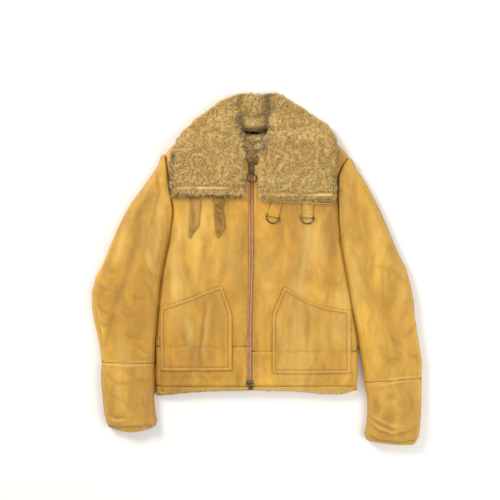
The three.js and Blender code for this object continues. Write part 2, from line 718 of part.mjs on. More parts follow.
function addSleeve(side, rows, cuffRows, arm) {
  const under = `sleeve_${side}_under`;
  addCarrier(under, underSleeve(rows, arm), golden, [carriers.back_panel, carriers[`front_${side}`]]);
  addCarrier(`sleeve_${side}_top`, topSleeve(rows, arm), golden, [
    carriers[under],
    carriers[`front_${side}`],
    carriers[`waistband_${side}`],
  ]);
  addCarrier(`cuff_${side}_under`, underSleeve(cuffRows, arm), goldenDark);
  add(`cuff_${side}_top`, cutBy(panel(topSleeve(cuffRows, arm)), [carriers[`cuff_${side}_under`]]), golden);
}
addSleeve('left', leftSleeve, leftCuff, leftArm);
addSleeve('right', rightSleeve, rightCuff, rightArm);

const chest = [
  carriers.front_left,
  carriers.front_right,
  carriers.waistband_left,
  carriers.waistband_right,
];

// Pockets: thin patches on the fronts, across the waist seam
function pocketPiece(rows) {
  return {
    rows: rows.map((row) => ({ ax: row.x, ay: row.top, bx: row.x, by: row.bottom })),
    stepsA: [0, 2, 10],
    stepsB: [0, 2, 10],
    between: 5,
    upper: (x, y) => frontHeight(x, y) + seamGap + leather,
    lower: (x, y) => frontHeight(x, y) - leather,
  };
}
add('pocket_left', cutBy(panel(pocketPiece(leftPocket)), chest), golden);
add('pocket_right', cutBy(panel(pocketPiece(rightPocket)), chest), golden);

// Straps: narrow at the point, and the second one lifted by its twist
function strapPiece(rows) {
  return {
    rows: rows.map((row) => ({ ax: row.left, ay: row.y, bx: row.right, by: row.y, lift: row.lift })),
    stepsA: [0, strap.edge],
    stepsB: [0, strap.edge],
    between: 3,
    upper: (x, y, context) => {
      const rounded = roundedRise(Math.min(context.fromA, context.fromB) / strap.edge);
      const wall = leather * mix(strap.edgeShare, 1, rounded);
      return frontHeight(x, y) + seamGap + wall + context.row.lift;
    },
    lower: (x, y, context) => frontHeight(x, y) - sunk + context.row.lift,
  };
}
add('strap_left_a', cutBy(panel(strapPiece(strapA)), chest), golden);
add('strap_left_b', cutBy(panel(strapPiece(strapB)), chest), golden);
const strapCutters = [strapA, strapB].map((rows) => toSolid(panel(strapPiece(rows), seamGap)));

// The plane of the chest at one place: its height and its slopes
function chestPlane(x, y) {
  const reach = 8;
  const slopeX = (frontHeight(x + reach, y) - frontHeight(x - reach, y)) / (2 * reach);
  const slopeY = (frontHeight(x, y + reach) - frontHeight(x, y - reach)) / (2 * reach);
  return { height: frontHeight(x, y), slopeX, slopeY };
}

// Axes at a tab: along its bar, up the tab towards the collar, and out of the chest
function tabFrame(place) {
  const plane = chestPlane(place.x, place.y);
  const run = new THREE.Vector3(place.topX - place.x, place.topY - place.y, 0).normalize();
  run.z = run.x * plane.slopeX + run.y * plane.slopeY;
  run.normalize();
  const out = new THREE.Vector3(-plane.slopeX, -plane.slopeY, 1).normalize();
  const bar = new THREE.Vector3().crossVectors(run, out).normalize();
  const matrix = new THREE.Matrix4().makeBasis(bar, run, out);
  matrix.setPosition(place.x, place.y, plane.height + tab.clear);
  return matrix;
}

const extruded = (shape, depth) => (
  new THREE.ExtrudeGeometry(shape, { depth, bevelEnabled: false, curveSegments: 7 })
);

// Side outline of a tab: a strip that ends in an eye round the bar
function tabGeometry() {
  const outerRadius = tab.hole + tab.ply;
  const thickness = tab.ply * 2;
  const shape = new THREE.Shape();
  shape.moveTo(tab.length, 0);
  shape.lineTo(tab.length, thickness);
  shape.lineTo(outerRadius * 1.4, thickness);
  shape.lineTo(outerRadius * 0.75, outerRadius + outerRadius * 0.66);
  shape.absarc(0, outerRadius, outerRadius, Math.PI * 0.25, Math.PI * 1.5, false);
  const hole = new THREE.Path();
  hole.absarc(0, outerRadius, tab.hole, 0, Math.PI * 2, true);
  shape.holes.push(hole);
  const geometry = extruded(shape, tab.width);
  geometry.translate(0, 0, -tab.width / 2);
  // the outline's axes become up the tab and out of the chest, its depth becomes the bar's way
  const turn = new THREE.Matrix4().makeBasis(
    new THREE.Vector3(0, 1, 0),
    new THREE.Vector3(0, 0, 1),
    new THREE.Vector3(1, 0, 0),
  );
  return geometry.applyMatrix4(turn);
}

// Closed tube round a loop of points that lie in the plane z = 0
function wireLoop(points, radius, sides) {
  const positions = [];
  const faces = [];
  const count = points.length;
  for (let i = 0; i < count; i += 1) {
    const before = points[(i + count - 1) % count];
    const after = points[(i + 1) % count];
    const normal = new THREE.Vector2(after.y - before.y, before.x - after.x).normalize();
    for (let s = 0; s < sides; s += 1) {
      const angle = ((s + 0.5) / sides) * Math.PI * 2;
      const out = Math.cos(angle) * radius;
      positions.push(points[i].x + normal.x * out, points[i].y + normal.y * out, Math.sin(angle) * radius);
      const next = (i + 1) % count;
      const a = i * sides + s;
      const b = i * sides + ((s + 1) % sides);
      const c = next * sides + ((s + 1) % sides);
      const d = next * sides + s;
      faces.push(a, b, c, a, c, d);
    }
  }
  return outward(positions, faces);
}

function arcPoints(cx, cy, rx, ry, from, to, count) {
  const points = [];
  for (let k = 0; k <= count; k += 1) {
    const angle = mix(from, to, k / count);
    points.push({ x: cx + Math.cos(angle) * rx, y: cy + Math.sin(angle) * ry });
  }
  return points;
}

// A D: its bar along x at y = 0 and its bow towards -y
function ringGeometry() {
  const straight = ring.halfWidth - ring.corner;
  const sideY = -ring.corner - ring.side;
  const quarter = Math.PI / 2;
  const points = [
    ...arcPoints(straight, -ring.corner, ring.corner, ring.corner, quarter, 0, 3),
    ...arcPoints(0, sideY, ring.halfWidth, ring.bow, 0, -2 * quarter, 12),
    ...arcPoints(-straight, -ring.corner, ring.corner, ring.corner, 2 * quarter, quarter, 3),
    { x: 0, y: 0 },
  ];
  return wireLoop(points, ring.wire, 8);
}

const ringDrop = tab.clear + tab.hole + tab.ply - ring.wire - 0.5;
const ringTilt = Math.asin(ringDrop / (ring.corner + ring.side + ring.bow));
const tabCutters = [];
const tabRoom = { fromEye: 10, height: 12 };
for (const place of tabs) {
  const frame = tabFrame(place);
  add(`tab_right_${place.name}`, tabGeometry().applyMatrix4(frame), golden);
  const seated = ringGeometry();
  seated.rotateX(ringTilt);
  seated.translate(0, 0, tab.hole + tab.ply);
  add(`ring_right_${place.name}`, seated.applyMatrix4(frame), greyMetal);
  // the room that the tab's strip takes in the collar, clear of its eye
  const wide = tab.width + 2 * seamGap;
  const long = tab.length - tabRoom.fromEye + 2 * seamGap;
  const cutter = new THREE.BoxGeometry(wide, long, tabRoom.height);
  cutter.translate(0, (tab.length + tabRoom.fromEye) / 2, tab.ply * 2 + seamGap - tabRoom.height / 2);
  tabCutters.push(toSolid(cutter.applyMatrix4(frame)));
}

// Zip: a tape each side and the joined teeth, lying on the ledges of the fronts
function zipRows(fromY, toY, left, right) {
  const heights = [fromY, ...chestRows, -176, -184, -195, -202, -230, toY];
  return heights.map((y) => {
    const x = columnAt(zipLine, 'x', y);
    return { ax: x + left, ay: y, bx: x + right, by: y };
  });
}
const ledgeHeight = (x, y) => frontHeight(x, y) - zip.ledgeDepth;

function zipPiece(left, right, thickness) {
  return {
    rows: zipRows(zipTop, zipBottom, left, right),
    stepsA: [0],
    stepsB: [0],
    between: 0,
    upper: (x, y) => ledgeHeight(x, y) + seamGap + thickness,
    lower: (x, y) => ledgeHeight(x, y) - sunk,
  };
}
const tapeInner = zip.teethHalf + seamGap;
const leftTape = zipPiece(-zip.toLeft + tapeClear, -tapeInner, zip.tape);
const rightTape = zipPiece(tapeInner, zip.toRight - tapeClear, zip.tape);
add('zip_tape_left', cutBy(panel(leftTape), chest), salmon);
add('zip_tape_right', cutBy(panel(rightTape), chest), salmon);
add('zip_teeth', cutBy(panel(zipPiece(-zip.teethHalf, zip.teethHalf, zip.teethHeight)), chest), paleMetal);

// Slider: a shield-shaped block with an eye at its lower end for the pull ring
const sliderX = columnAt(zipLine, 'x', slider.eyeY);
const sliderFloor = ledgeHeight(sliderX, slider.eyeY + slider.length / 2) + 1.2;
const pullHeight = frontHeight(sliderX, slider.eyeY) + 2.2;

// half outline of the slider from its foot up, as shares of its half width and length
const sliderSide = [[0.62, 0], [0.84, 0.35], [1, 0.8], [0.7, 1]];

function sliderGeometry() {
  const half = slider.width / 2;
  const shape = new THREE.Shape();
  const otherSide = sliderSide.map(([across, along]) => [-across, along]).reverse();
  for (const [across, along] of [...sliderSide, ...otherSide]) {
    shape.lineTo(across * half, along * slider.length);
  }
  shape.closePath();
  const plate = extruded(shape, slider.height);
  plate.translate(sliderX, slider.eyeY + slider.eyeHole + slider.eyeWall, sliderFloor);
  const eyeRadius = slider.eyeHole + slider.eyeWall;
  const eye = new THREE.Shape();
  eye.absarc(0, 0, eyeRadius, Math.PI * 0.5, Math.PI * 1.5, false);
  eye.lineTo(eyeRadius + 2, -eyeRadius);
  eye.lineTo(eyeRadius + 2, eyeRadius);
  const hole = new THREE.Path();
  hole.absarc(0, 0, slider.eyeHole, 0, Math.PI * 2, true);
  eye.holes.push(hole);
  const loop = extruded(eye, slider.eyeWidth);
  loop.translate(0, 0, -slider.eyeWidth / 2);
  loop.applyMatrix4(new THREE.Matrix4().makeBasis(
    new THREE.Vector3(0, 1, 0),
    new THREE.Vector3(0, 0, 1),
    new THREE.Vector3(1, 0, 0),
  ));
  loop.translate(sliderX, slider.eyeY, pullHeight);
  return fromSolid(toSolid(plate).add(toSolid(loop)));
}
add('zip_slider', cutBy(sliderGeometry(), chest), greyMetal);

// Pull ring: lies down from the slider's eye
const pullPoints = arcPoints(0, -pullRing.radius, pullRing.radius, pullRing.radius, 0, Math.PI * 2, 28);
pullPoints.pop();
const pull = wireLoop(pullPoints, pullRing.wire, 8);
pull.translate(sliderX, slider.eyeY, pullHeight);
add('zip_pull', pull, greyMetal);

// Stud at the foot of the zip, its stem down in the channel between the waistbands
const studX = columnAt(zipLine, 'x', stud.y) + 0.6;
const studSeat = frontHeight(studX, stud.y) + 0.9;
const studProfile = [
  new THREE.Vector2(0, ledgeHeight(studX, stud.y) + 1.1 - studSeat),
  new THREE.Vector2(stud.stem, ledgeHeight(studX, stud.y) + 1.1 - studSeat),
  new THREE.Vector2(stud.stem, 0),
  new THREE.Vector2(stud.radius, 0),
  new THREE.Vector2(stud.radius, stud.height * 0.45),
  new THREE.Vector2(stud.radius * 0.86, stud.height * 0.85),
  new THREE.Vector2(stud.radius * 0.5, stud.height),
  new THREE.Vector2(0, stud.height),
];
const studGeometry = new THREE.LatheGeometry(studProfile, 20);
studGeometry.rotateX(Math.PI / 2);
studGeometry.translate(studX, stud.y, studSeat);
add('zip_stud', fromSolid(toSolid(studGeometry)), greyMetal);

// Collar: spread over the shoulders, and folded over onto the floor behind the neck
function insideShoulders(x, y) {
  const path = shoulders;
  let k = 0;
  while (k + 2 < path.length && path[k + 1].x < x) k += 1;
  const t = Math.min(1, Math.max(0, (x - path[k].x) / (path[k + 1].x - path[k].x || 1)));
  const lineY = mix(path[k].y, path[k + 1].y, t);
  const away = distanceTo([path], x, y);
  return y > lineY ? -away : away;
}

function collarUpper(x, y, context) {
  const inside = insideShoulders(x, y);
  const onto = smooth((inside + collarBase.outside) / collarBase.span);
  const sloping = mix(collarBase.floor, collarBase.onBody, onto);
  const base = inside > 0 ? Math.max(sloping, frontCushion(x, y)) : sloping;
  const last = collar[collar.length - 1];
  const fromFirst = Math.max(0, y - mix(collar[0].outY, collar[0].inY, 0.5));
  const fromLast = Math.max(0, y - mix(last.outY, last.inY, 0.5));
  const fromEnd = x < (collar[0].inX + last.inX) / 2 ? fromFirst : fromLast;
  const rise = Math.min(
    roundedRise(context.fromA / collarWall.innerRadius),
    roundedRise(context.fromB / collarWall.outerRadius),
    roundedRise(fromEnd / collarWall.endRadius),
  );
  const { lift, roll } = collar[context.index];
  const width = context.fromA + context.fromB;
  const rolled = roll * (1 - smooth(context.fromA / (width * 0.6)));
  const inStand = x > standGroove.fromX && x < standGroove.toX;
  const groove = inStand ? standGroove.depth * Math.exp(-(((y - standGroove.y) / standGroove.half) ** 2)) : 0;
  return base + collarWall.edge + (collarWall.loft + rolled + lift) * rise - groove;
}

function collarLower(x, y) {
  const outside = -Math.min(0, insideShoulders(x, y));
  return collarUnderside.height * (1 - smooth(outside / collarUnderside.reach));
}

const collarRaw = panel({
  rows: collar.map((row) => ({ ax: row.inX, ay: row.inY, bx: row.outX, by: row.outY })),
  stepsA: [0, 2, 7, 15],
  stepsB: [0, 2, 7, 15],
  between: 4,
  upper: collarUpper,
  lower: collarLower,
});
const sleeveCarriers = ['left', 'right'].flatMap((side) => (
  [carriers[`sleeve_${side}_top`], carriers[`sleeve_${side}_under`]]
));
add('collar', cutBy(collarRaw, [
  carriers.back_panel,
  carriers.front_left,
  carriers.front_right,
  ...sleeveCarriers,
  ...strapCutters,
  ...tabCutters,
]), wool);

// Plain tape sewn across the back of the neck
add('neck_tape', cutBy(panel({
  rows: [-27, -15, -3, 10].map((x) => ({ ax: x, ay: 324.4, bx: x, by: 316.4 })),
  stepsA: [0],
  stepsB: [0],
  between: 1,
  upper: (x, y) => backHeight(x, y) + seamGap + 1.5,
  lower: (x, y) => backHeight(x, y) - 3,
}), [carriers.back_panel]), black);

export default jacket;
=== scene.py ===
import math
import bpy
import numpy as np
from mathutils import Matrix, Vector, noise
from mathutils.bvhtree import BVHTree
from mathutils.kdtree import KDTree


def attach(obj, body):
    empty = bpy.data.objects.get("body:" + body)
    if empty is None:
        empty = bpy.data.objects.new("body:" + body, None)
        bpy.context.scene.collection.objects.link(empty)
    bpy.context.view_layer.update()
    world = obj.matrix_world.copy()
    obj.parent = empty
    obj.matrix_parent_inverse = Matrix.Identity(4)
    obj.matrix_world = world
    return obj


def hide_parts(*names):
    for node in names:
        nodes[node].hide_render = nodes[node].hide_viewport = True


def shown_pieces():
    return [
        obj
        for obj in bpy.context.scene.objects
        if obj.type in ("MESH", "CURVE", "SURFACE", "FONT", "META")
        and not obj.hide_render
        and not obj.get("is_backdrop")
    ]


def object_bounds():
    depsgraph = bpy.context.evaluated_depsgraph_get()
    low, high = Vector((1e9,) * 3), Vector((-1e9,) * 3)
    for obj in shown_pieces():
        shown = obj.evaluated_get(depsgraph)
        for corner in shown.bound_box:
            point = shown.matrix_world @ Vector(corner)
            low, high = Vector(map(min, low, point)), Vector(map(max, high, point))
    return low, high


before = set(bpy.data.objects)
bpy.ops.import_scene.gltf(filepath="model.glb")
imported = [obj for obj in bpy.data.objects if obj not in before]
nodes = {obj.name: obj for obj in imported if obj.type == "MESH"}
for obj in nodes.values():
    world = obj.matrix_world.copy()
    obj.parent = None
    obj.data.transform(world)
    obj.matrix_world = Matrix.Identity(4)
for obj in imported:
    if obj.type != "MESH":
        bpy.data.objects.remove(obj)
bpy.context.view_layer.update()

# the script's own lengths are in millimetres, Blender's in metres
perMetre = 1000
scene = bpy.context.scene
bpy.ops.object.select_all(action="DESELECT")
print("frame loaded")

# camera over the middle of the photograph's frame, lights and floor; places in metres
view = {"across": -0.0165, "along": 0.0435, "height": 3.03, "field": 1.175, "sensor": 36.0, "plane": 0.03,
        "far": 60}
sky = {"colour": (1.0, 0.985, 0.96), "strength": 0.56}
lamps = {
    "key": {"place": (-1.5, 1.5, 1.7), "size": 1.0, "power": 43, "colour": (1.0, 0.97, 0.92)},
    "fill": {"place": (1.5, -0.6, 2.0), "size": 1.8, "power": 26, "colour": (1.0, 0.985, 0.96)},
}
floorSizes = {"side": 14.0, "below": 0.0006, "colour": (0.97, 0.97, 0.965), "roughness": 0.8, "darker": 0.985,
              "patches": 0.8}

bpy.ops.object.camera_add(location=(view["across"], view["along"], view["height"]), rotation=(0, 0, 0))
camera = bpy.context.active_object
camera.data.sensor_width = view["sensor"]
camera.data.lens = view["sensor"] * (view["height"] - view["plane"]) / view["field"]
camera.data.clip_end = view["far"]
scene.camera = camera

world = bpy.data.worlds.new("studio")
scene.world = world
world.use_nodes = True
world.node_tree.nodes["Background"].inputs["Color"].default_value = (*sky["colour"], 1)
world.node_tree.nodes["Background"].inputs["Strength"].default_value = sky["strength"]
scene.view_settings.view_transform = "Standard"

for lampName, lamp in lamps.items():
    bpy.ops.object.light_add(type="AREA", location=lamp["place"])
    light = bpy.context.active_object
    light.name = lampName
    light.data.shape = "DISK"
    light.data.size = lamp["size"]
    light.data.energy = lamp["power"]
    light.data.color = lamp["colour"]
    light.rotation_euler = (Vector((0, 0, 0)) - Vector(lamp["place"])).to_track_quat("-Z", "Y").to_euler()


# node helpers for the finishes
def addNode(tree, kind, **settings):
    node = tree.nodes.new(kind)
    for name, value in settings.items():
        setattr(node, name, value)
    return node


def newFinish(name):
    finish = bpy.data.materials.new(name)
    finish.use_nodes = True
    tree = finish.node_tree
    return finish, tree, tree.nodes["Principled BSDF"]


def objectPlace(tree, stretch=(1, 1, 1), turn=0.0):
    place = addNode(tree, "ShaderNodeTexCoord")
    mapping = addNode(tree, "ShaderNodeMapping")
    mapping.inputs["Scale"].default_value = stretch
    mapping.inputs["Rotation"].default_value = (0, 0, turn)
    tree.links.new(place.outputs["Object"], mapping.inputs["Vector"])
    return mapping.outputs["Vector"]


def noiseAt(tree, place, scale, detail=3.0, roughness=0.5, distortion=0.0):
    texture = addNode(tree, "ShaderNodeTexNoise")
    texture.inputs["Scale"].default_value = scale
    texture.inputs["Detail"].default_value = detail
    texture.inputs["Roughness"].default_value = roughness
    texture.inputs["Distortion"].default_value = distortion
    tree.links.new(place, texture.inputs["Vector"])
    return texture.outputs["Fac"]


def cellsAt(tree, place, scale):
    texture = addNode(tree, "ShaderNodeTexVoronoi", feature="F1")
    texture.inputs["Scale"].default_value = scale
    tree.links.new(place, texture.inputs["Vector"])
    return texture.outputs["Distance"]


def rampOf(tree, value, stops):
    ramp = addNode(tree, "ShaderNodeValToRGB")
    while len(ramp.color_ramp.elements) < len(stops):
        ramp.color_ramp.elements.new(0.5)
    for element, (position, colour) in zip(ramp.color_ramp.elements, stops):
        element.position = position
        element.color = (*colour, 1)
    tree.links.new(value, ramp.inputs["Fac"])
    return ramp.outputs["Color"]


def spanOf(tree, value, low, high, fromLow=0.0, fromHigh=1.0):
    span = addNode(tree, "ShaderNodeMapRange")
    span.inputs["From Min"].default_value = fromLow
    span.inputs["From Max"].default_value = fromHigh
    span.inputs["To Min"].default_value = low
    span.inputs["To Max"].default_value = high
    tree.links.new(value, span.inputs["Value"])
    return span.outputs["Result"]


def mixOf(tree, share, first, second, how="MIX"):
    mixer = addNode(tree, "ShaderNodeMix", data_type="RGBA", blend_type=how)
    for name, value in (("Factor", share), ("A", first), ("B", second)):
        socket = mixer.inputs[name]
        if isinstance(value, (int, float)):
            socket.default_value = value
        elif isinstance(value, tuple):
            socket.default_value = (*value, 1)
        else:
            tree.links.new(value, socket)
    return mixer.outputs["Result"]


def markOf(tree, name):
    return addNode(tree, "ShaderNodeAttribute", attribute_name=name).outputs["Fac"]


def bumpOf(tree, height, depth, under=None, strength=1.0):
    bump = addNode(tree, "ShaderNodeBump")
    bump.inputs["Distance"].default_value = depth
    bump.inputs["Strength"].default_value = strength
    tree.links.new(height, bump.inputs["Height"])
    if under is not None:
        tree.links.new(under, bump.inputs["Normal"])
    return bump.outputs["Normal"]


def feed(shader, socket, value):
    shader.id_data.links.new(value, shader.inputs[socket])


# what all leather has in common: a noise is its scale, detail, roughness and distortion (broad, cloud and pores
# take their scale elsewhere); a span is the low and high that come out, then those that go in
hide = {
    "broad": (3, 0.55, 0.6), "stops": (0.30, 0.50, 0.72),
    "cloud": (6, 0.60, 0.9), "cloudSpan": (0.60, 1.30, 0.28, 0.74), "cloudShare": 0.85,
    "scuffWay": ((1, 0.35, 1), 0.5), "scuff": (70, 5, 0.7), "scuffSpan": (0, 0.4, 0.56, 0.74),
    # the streak noise and its spans paint sheen streaks, pale where it is high and browner where it is low; the
    # crease span mixes in painted shade, the worn span painted sheen highlights
    "streakDrawn": 0.55, "streak": (15, 4, 0.55, 0.5), "sheenSpan": (0, 0.42, 0.54, 0.72),
    "brownSpan": (0.50, 0, 0.28, 0.46), "creaseSpan": (0, 0.85), "wornSpan": (0, 0.6),
    "gloss": (48, 4, 0.6), "smoother": 0.07, "rougher": 0.10, "glossFrom": (0.3, 0.7), "specular": 0.42,
    "grainDeep": 0.00045, "poresFiner": 2.2, "pores": (3, 0.6), "poresDeep": 0.0002,
    "crinkle": (130, 4, 0.62, 1.5), "crinkleDeep": 0.0013,
}


def leatherFinish(name, look):
    finish, tree, shader = newFinish(name)
    place = objectPlace(tree)
    drawn = objectPlace(tree, (1, look["drawn"], 1))
    broad = noiseAt(tree, drawn, look["broad"], *hide["broad"])
    colour = rampOf(tree, broad, list(zip(hide["stops"], (look["brown"], look["gold"], look["light"]))))
    cloudy = spanOf(tree, noiseAt(tree, drawn, look["cloudy"], *hide["cloud"]), *hide["cloudSpan"])
    grey = addNode(tree, "ShaderNodeCombineColor")
    for channel in ("Red", "Green", "Blue"):
        tree.links.new(cloudy, grey.inputs[channel])
    colour = mixOf(tree, hide["cloudShare"], colour, grey.outputs["Color"], "MULTIPLY")
    scuffs = noiseAt(tree, objectPlace(tree, *hide["scuffWay"]), *hide["scuff"])
    sheenStreaks = noiseAt(tree, objectPlace(tree, (1, look["drawn"] * hide["streakDrawn"], 1)), *hide["streak"])
    # the crease mark paints shade into folds, seam gaps and edge walls; the worn mark paints sheen highlights,
    # and the real paleness of worn crests and turned edges
    creaseShade, worn = markOf(tree, "creaseShade"), markOf(tree, "worn")
    for value, span, over in ((scuffs, "scuffSpan", "light"), (sheenStreaks, "sheenSpan", "pale"),
                              (sheenStreaks, "brownSpan", "brown"), (creaseShade, "creaseSpan", "dark"),
                              (worn, "wornSpan", "pale")):
        colour = mixOf(tree, spanOf(tree, value, *hide[span]), colour, look[over])
    feed(shader, "Base Color", colour)
    gloss = noiseAt(tree, place, *hide["gloss"])
    glossSpan = (look["gloss"] - hide["smoother"], look["gloss"] + hide["rougher"], *hide["glossFrom"])
    feed(shader, "Roughness", spanOf(tree, gloss, *glossSpan))
    grain = bumpOf(tree, cellsAt(tree, place, look["grain"]), hide["grainDeep"])
    pores = noiseAt(tree, place, look["grain"] * hide["poresFiner"], *hide["pores"])
    pores = bumpOf(tree, pores, hide["poresDeep"], grain)
    feed(shader, "Normal", bumpOf(tree, noiseAt(tree, place, *hide["crinkle"]), hide["crinkleDeep"], pores))
    shader.inputs["Specular IOR Level"].default_value = hide["specular"]
    return finish


looks = {
    # pale is the colour of painted sheen highlights and of worn crests and turned edges; dark is the colour of
    # painted shade in folds, seam gaps and edge walls
    "leather": {
        "broad": 6.5, "cloudy": 24, "grain": 520, "gloss": 0.41, "drawn": 0.42,
        "brown": (0.51, 0.250, 0.030), "gold": (0.62, 0.330, 0.038), "light": (0.75, 0.43, 0.062),
        "pale": (0.88, 0.60, 0.17), "dark": (0.33, 0.150, 0.020),
    },
    "trim": {
        "broad": 9.0, "cloudy": 40, "grain": 560, "gloss": 0.50, "drawn": 0.5,
        "brown": (0.28, 0.135, 0.016), "gold": (0.36, 0.185, 0.022), "light": (0.44, 0.24, 0.034),
        "pale": (0.70, 0.46, 0.14), "dark": (0.12, 0.055, 0.012),
    },
}
leather = leatherFinish("golden_leather", looks["leather"])
trim = leatherFinish("trim_leather", looks["trim"])

floorFinish, floorTree, floorShader = newFinish("pale_floor")
darkerFloor = tuple(channel * floorSizes["darker"] for channel in floorSizes["colour"])
floorTint = rampOf(floorTree, noiseAt(floorTree, objectPlace(floorTree), floorSizes["patches"], 2),
                   [(0.0, floorSizes["colour"]), (1.0, darkerFloor)])
feed(floorShader, "Base Color", floorTint)
floorShader.inputs["Roughness"].default_value = floorSizes["roughness"]
bpy.ops.mesh.primitive_plane_add(size=floorSizes["side"], location=(0, 0, -floorSizes["below"]))
floor = bpy.context.active_object
floor.name = "studio_floor"
bpy.ops.object.transform_apply(location=True, rotation=False, scale=False)
floor.data.materials.append(floorFinish)
floor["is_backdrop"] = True
print("camera, lights and floor are set")

# folds pressed into the leather: a soft trough (deep above zero) or ridge (below zero), its half
# width, how dark it is, and the points that it runs through; all in millimetres
# each row's darkness is painted shade in its trough; ridges carry none
bodyFolds = [
    (2.6, 9, 0.30, [(-120, 66), (-117, 40), (-121, 12), (-116, -12)]),
    (-1.6, 8, 0.0, [(-134, 58), (-131, 30), (-137, 2)]),
    (1.8, 7, 0.22, [(-113, 132), (-110, 108), (-114, 78)]),
    (3.0, 12, 0.34, [(176, 130), (168, 98), (171, 62), (184, 24)]),
    (-1.8, 9, 0.0, [(152, 118), (148, 84), (152, 50)]),
    (1.3, 6, 0.16, [(190, 92), (182, 74), (186, 52)]),
    (1.5, 9, 0.14, [(-196, 92), (-190, 48), (-196, 2), (-204, -46)]),
    (1.2, 8, 0.10, [(-62, 84), (-58, 50), (-66, 22)]),
    (1.4, 10, 0.12, [(-36, 30), (-40, -20), (-33, -66)]),
    (1.1, 7, 0.12, [(24, 40), (28, 0), (22, -36)]),
    (1.6, 9, 0.16, [(118, 34), (104, 8), (98, -22)]),
    (1.0, 6, 0.14, [(60, 60), (74, 38), (80, 12)]),
    (1.3, 7, 0.18, [(206, -8), (196, -40), (202, -74)]),
    (1.1, 6, 0.16, [(-214, -10), (-206, -36), (-210, -72)]),
    (1.5, 8, 0.16, [(-96, -10), (-88, -30), (-92, -48)]),
    (1.6, 8, 0.20, [(204, 236), (192, 210), (184, 176)]),
    (1.4, 7, 0.18, [(-200, 222), (-196, 190), (-190, 168)]),
    (1.3, 9, 0.12, [(-226, -262), (-160, -258), (-96, -264)]),
    (1.1, 8, 0.12, [(70, -266), (128, -262), (190, -270)]),
    (0.9, 5, 0.14, [(-40, -212), (-34, -250), (-42, -276)]),
    (0.9, 5, 0.14, [(14, -206), (20, -240), (14, -270)]),
]
leftPocketFolds = [
    (1.7, 4.5, 0.62, [(-118, -64), (-124, -112), (-129, -160), (-135, -236)]),
    (-0.9, 6, 0.0, [(-108, -80), (-114, -124), (-120, -170)]),
    (0.9, 6, 0.12, [(-196, -112), (-190, -150), (-196, -196)]),
    (0.8, 5, 0.12, [(-84, -120), (-80, -158), (-86, -204)]),
    (0.7, 5, 0.12, [(-170, -104), (-160, -118), (-148, -122)]),
]
rightPocketFolds = [
    (1.4, 8, 0.34, [(112, -76), (119, -112), (116, -148), (118, -182)]),
    (-0.8, 6, 0.0, [(122, -92), (125, -130), (120, -168)]),
    (0.8, 6, 0.12, [(176, -124), (170, -164), (176, -208)]),
    (0.8, 5, 0.12, [(66, -104), (60, -150), (66, -196)]),
    (0.7, 5, 0.12, [(82, -80), (90, -92), (98, -96)]),
]
leftSleeveFolds = [
    (2.2, 5, 0.45, [(-236, 241), (-232, 210), (-230, 180), (-233, 150), (-240, 124)]),
    (2.6, 12, 0.42, [(-258, 152), (-272, 122), (-284, 66), (-294, 26), (-306, -20)]),
    (2.4, 10, 0.42, [(-304, -12), (-312, -44), (-324, -68), (-335, -90)]),
    (2.2, 8, 0.44, [(-333, -80), (-340, -112), (-344, -139), (-355, -180)]),
    (-1.7, 7, 0.0, [(-250, 196), (-258, 168), (-280, 140), (-298, 92)]),
    (-1.8, 7, 0.0, [(-314, 48), (-322, 8), (-328, -30), (-340, -58)]),
    (1.7, 6, 0.32, [(-266, 108), (-258, 76), (-262, 40)]),
    (1.5, 6, 0.28, [(-246, 118), (-238, 84), (-240, 52), (-248, 20)]),
    (1.6, 6, 0.30, [(-360, 14), (-346, -4), (-330, -10)]),
    (1.4, 5, 0.30, [(-372, -40), (-356, -52), (-344, -50)]),
    (1.5, 5, 0.34, [(-379, -84), (-366, -98), (-350, -104)]),
    (1.5, 5, 0.36, [(-374, -122), (-360, -132), (-345, -130)]),
    (1.2, 4, 0.30, [(-352, -122), (-344, -134), (-342, -146)]),
    (1.4, 6, 0.26, [(-322, -96), (-300, -112), (-280, -114)]),
    (1.3, 6, 0.24, [(-300, -60), (-280, -72), (-258, -70)]),
    (1.5, 6, 0.28, [(-314, -150), (-292, -166), (-266, -166)]),
    (1.3, 5, 0.26, [(-268, -30), (-252, -52), (-248, -84)]),
    (1.5, 5, 0.34, [(-284, -180), (-270, -192), (-254, -196)]),
    (1.3, 5, 0.26, [(-258, 4), (-244, -16), (-242, -42)]),
    (1.1, 5, 0.22, [(-292, 150), (-304, 132), (-318, 124)]),
    (1.2, 5, 0.22, [(-336, 92), (-326, 70), (-330, 44)]),
    (1.1, 7, 0.18, [(-250, 232), (-264, 216), (-276, 190)]),
]
rightSleeveFolds = [
    (2.2, 8, 0.34, [(320, 0), (332, -14), (350, -34)]),
    (2.0, 8, 0.30, [(344, -159), (360, -152), (378, -128)]),
    (1.6, 5, 0.36, [(313, -161), (322, -170), (338, -181)]),
    (2.2, 11, 0.28, [(238, 160), (250, 126), (262, 84), (264, 48)]),
    (-1.6, 9, 0.0, [(262, 168), (280, 130), (290, 86)]),
    (1.9, 10, 0.22, [(280, -52), (292, -96), (296, -136), (304, -172)]),
    (-1.4, 8, 0.0, [(306, -60), (318, -104), (322, -140)]),
    (1.5, 6, 0.24, [(246, 60), (256, 28), (252, -4), (262, -34)]),
    (1.4, 5, 0.24, [(274, 8), (296, 2), (314, -12)]),
    (1.3, 6, 0.20, [(286, 72), (306, 52), (320, 26)]),
    (1.4, 5, 0.26, [(362, -66), (350, -82), (352, -104)]),
    (1.2, 5, 0.22, [(270, -96), (262, -128), (272, -158)]),
    (1.3, 5, 0.28, [(300, -208), (312, -216), (330, -214)]),
    (1.4, 5, 0.30, [(350, -196), (364, -208), (382, -206)]),
    (1.2, 6, 0.20, [(270, -190), (262, -214), (268, -236)]),
    (1.3, 8, 0.16, [(232, 232), (252, 214), (268, 186)]),
    (1.2, 6, 0.18, [(300, 120), (316, 96), (322, 66)]),
    (1.1, 5, 0.18, [(336, 40), (346, 14), (352, -10)]),
]
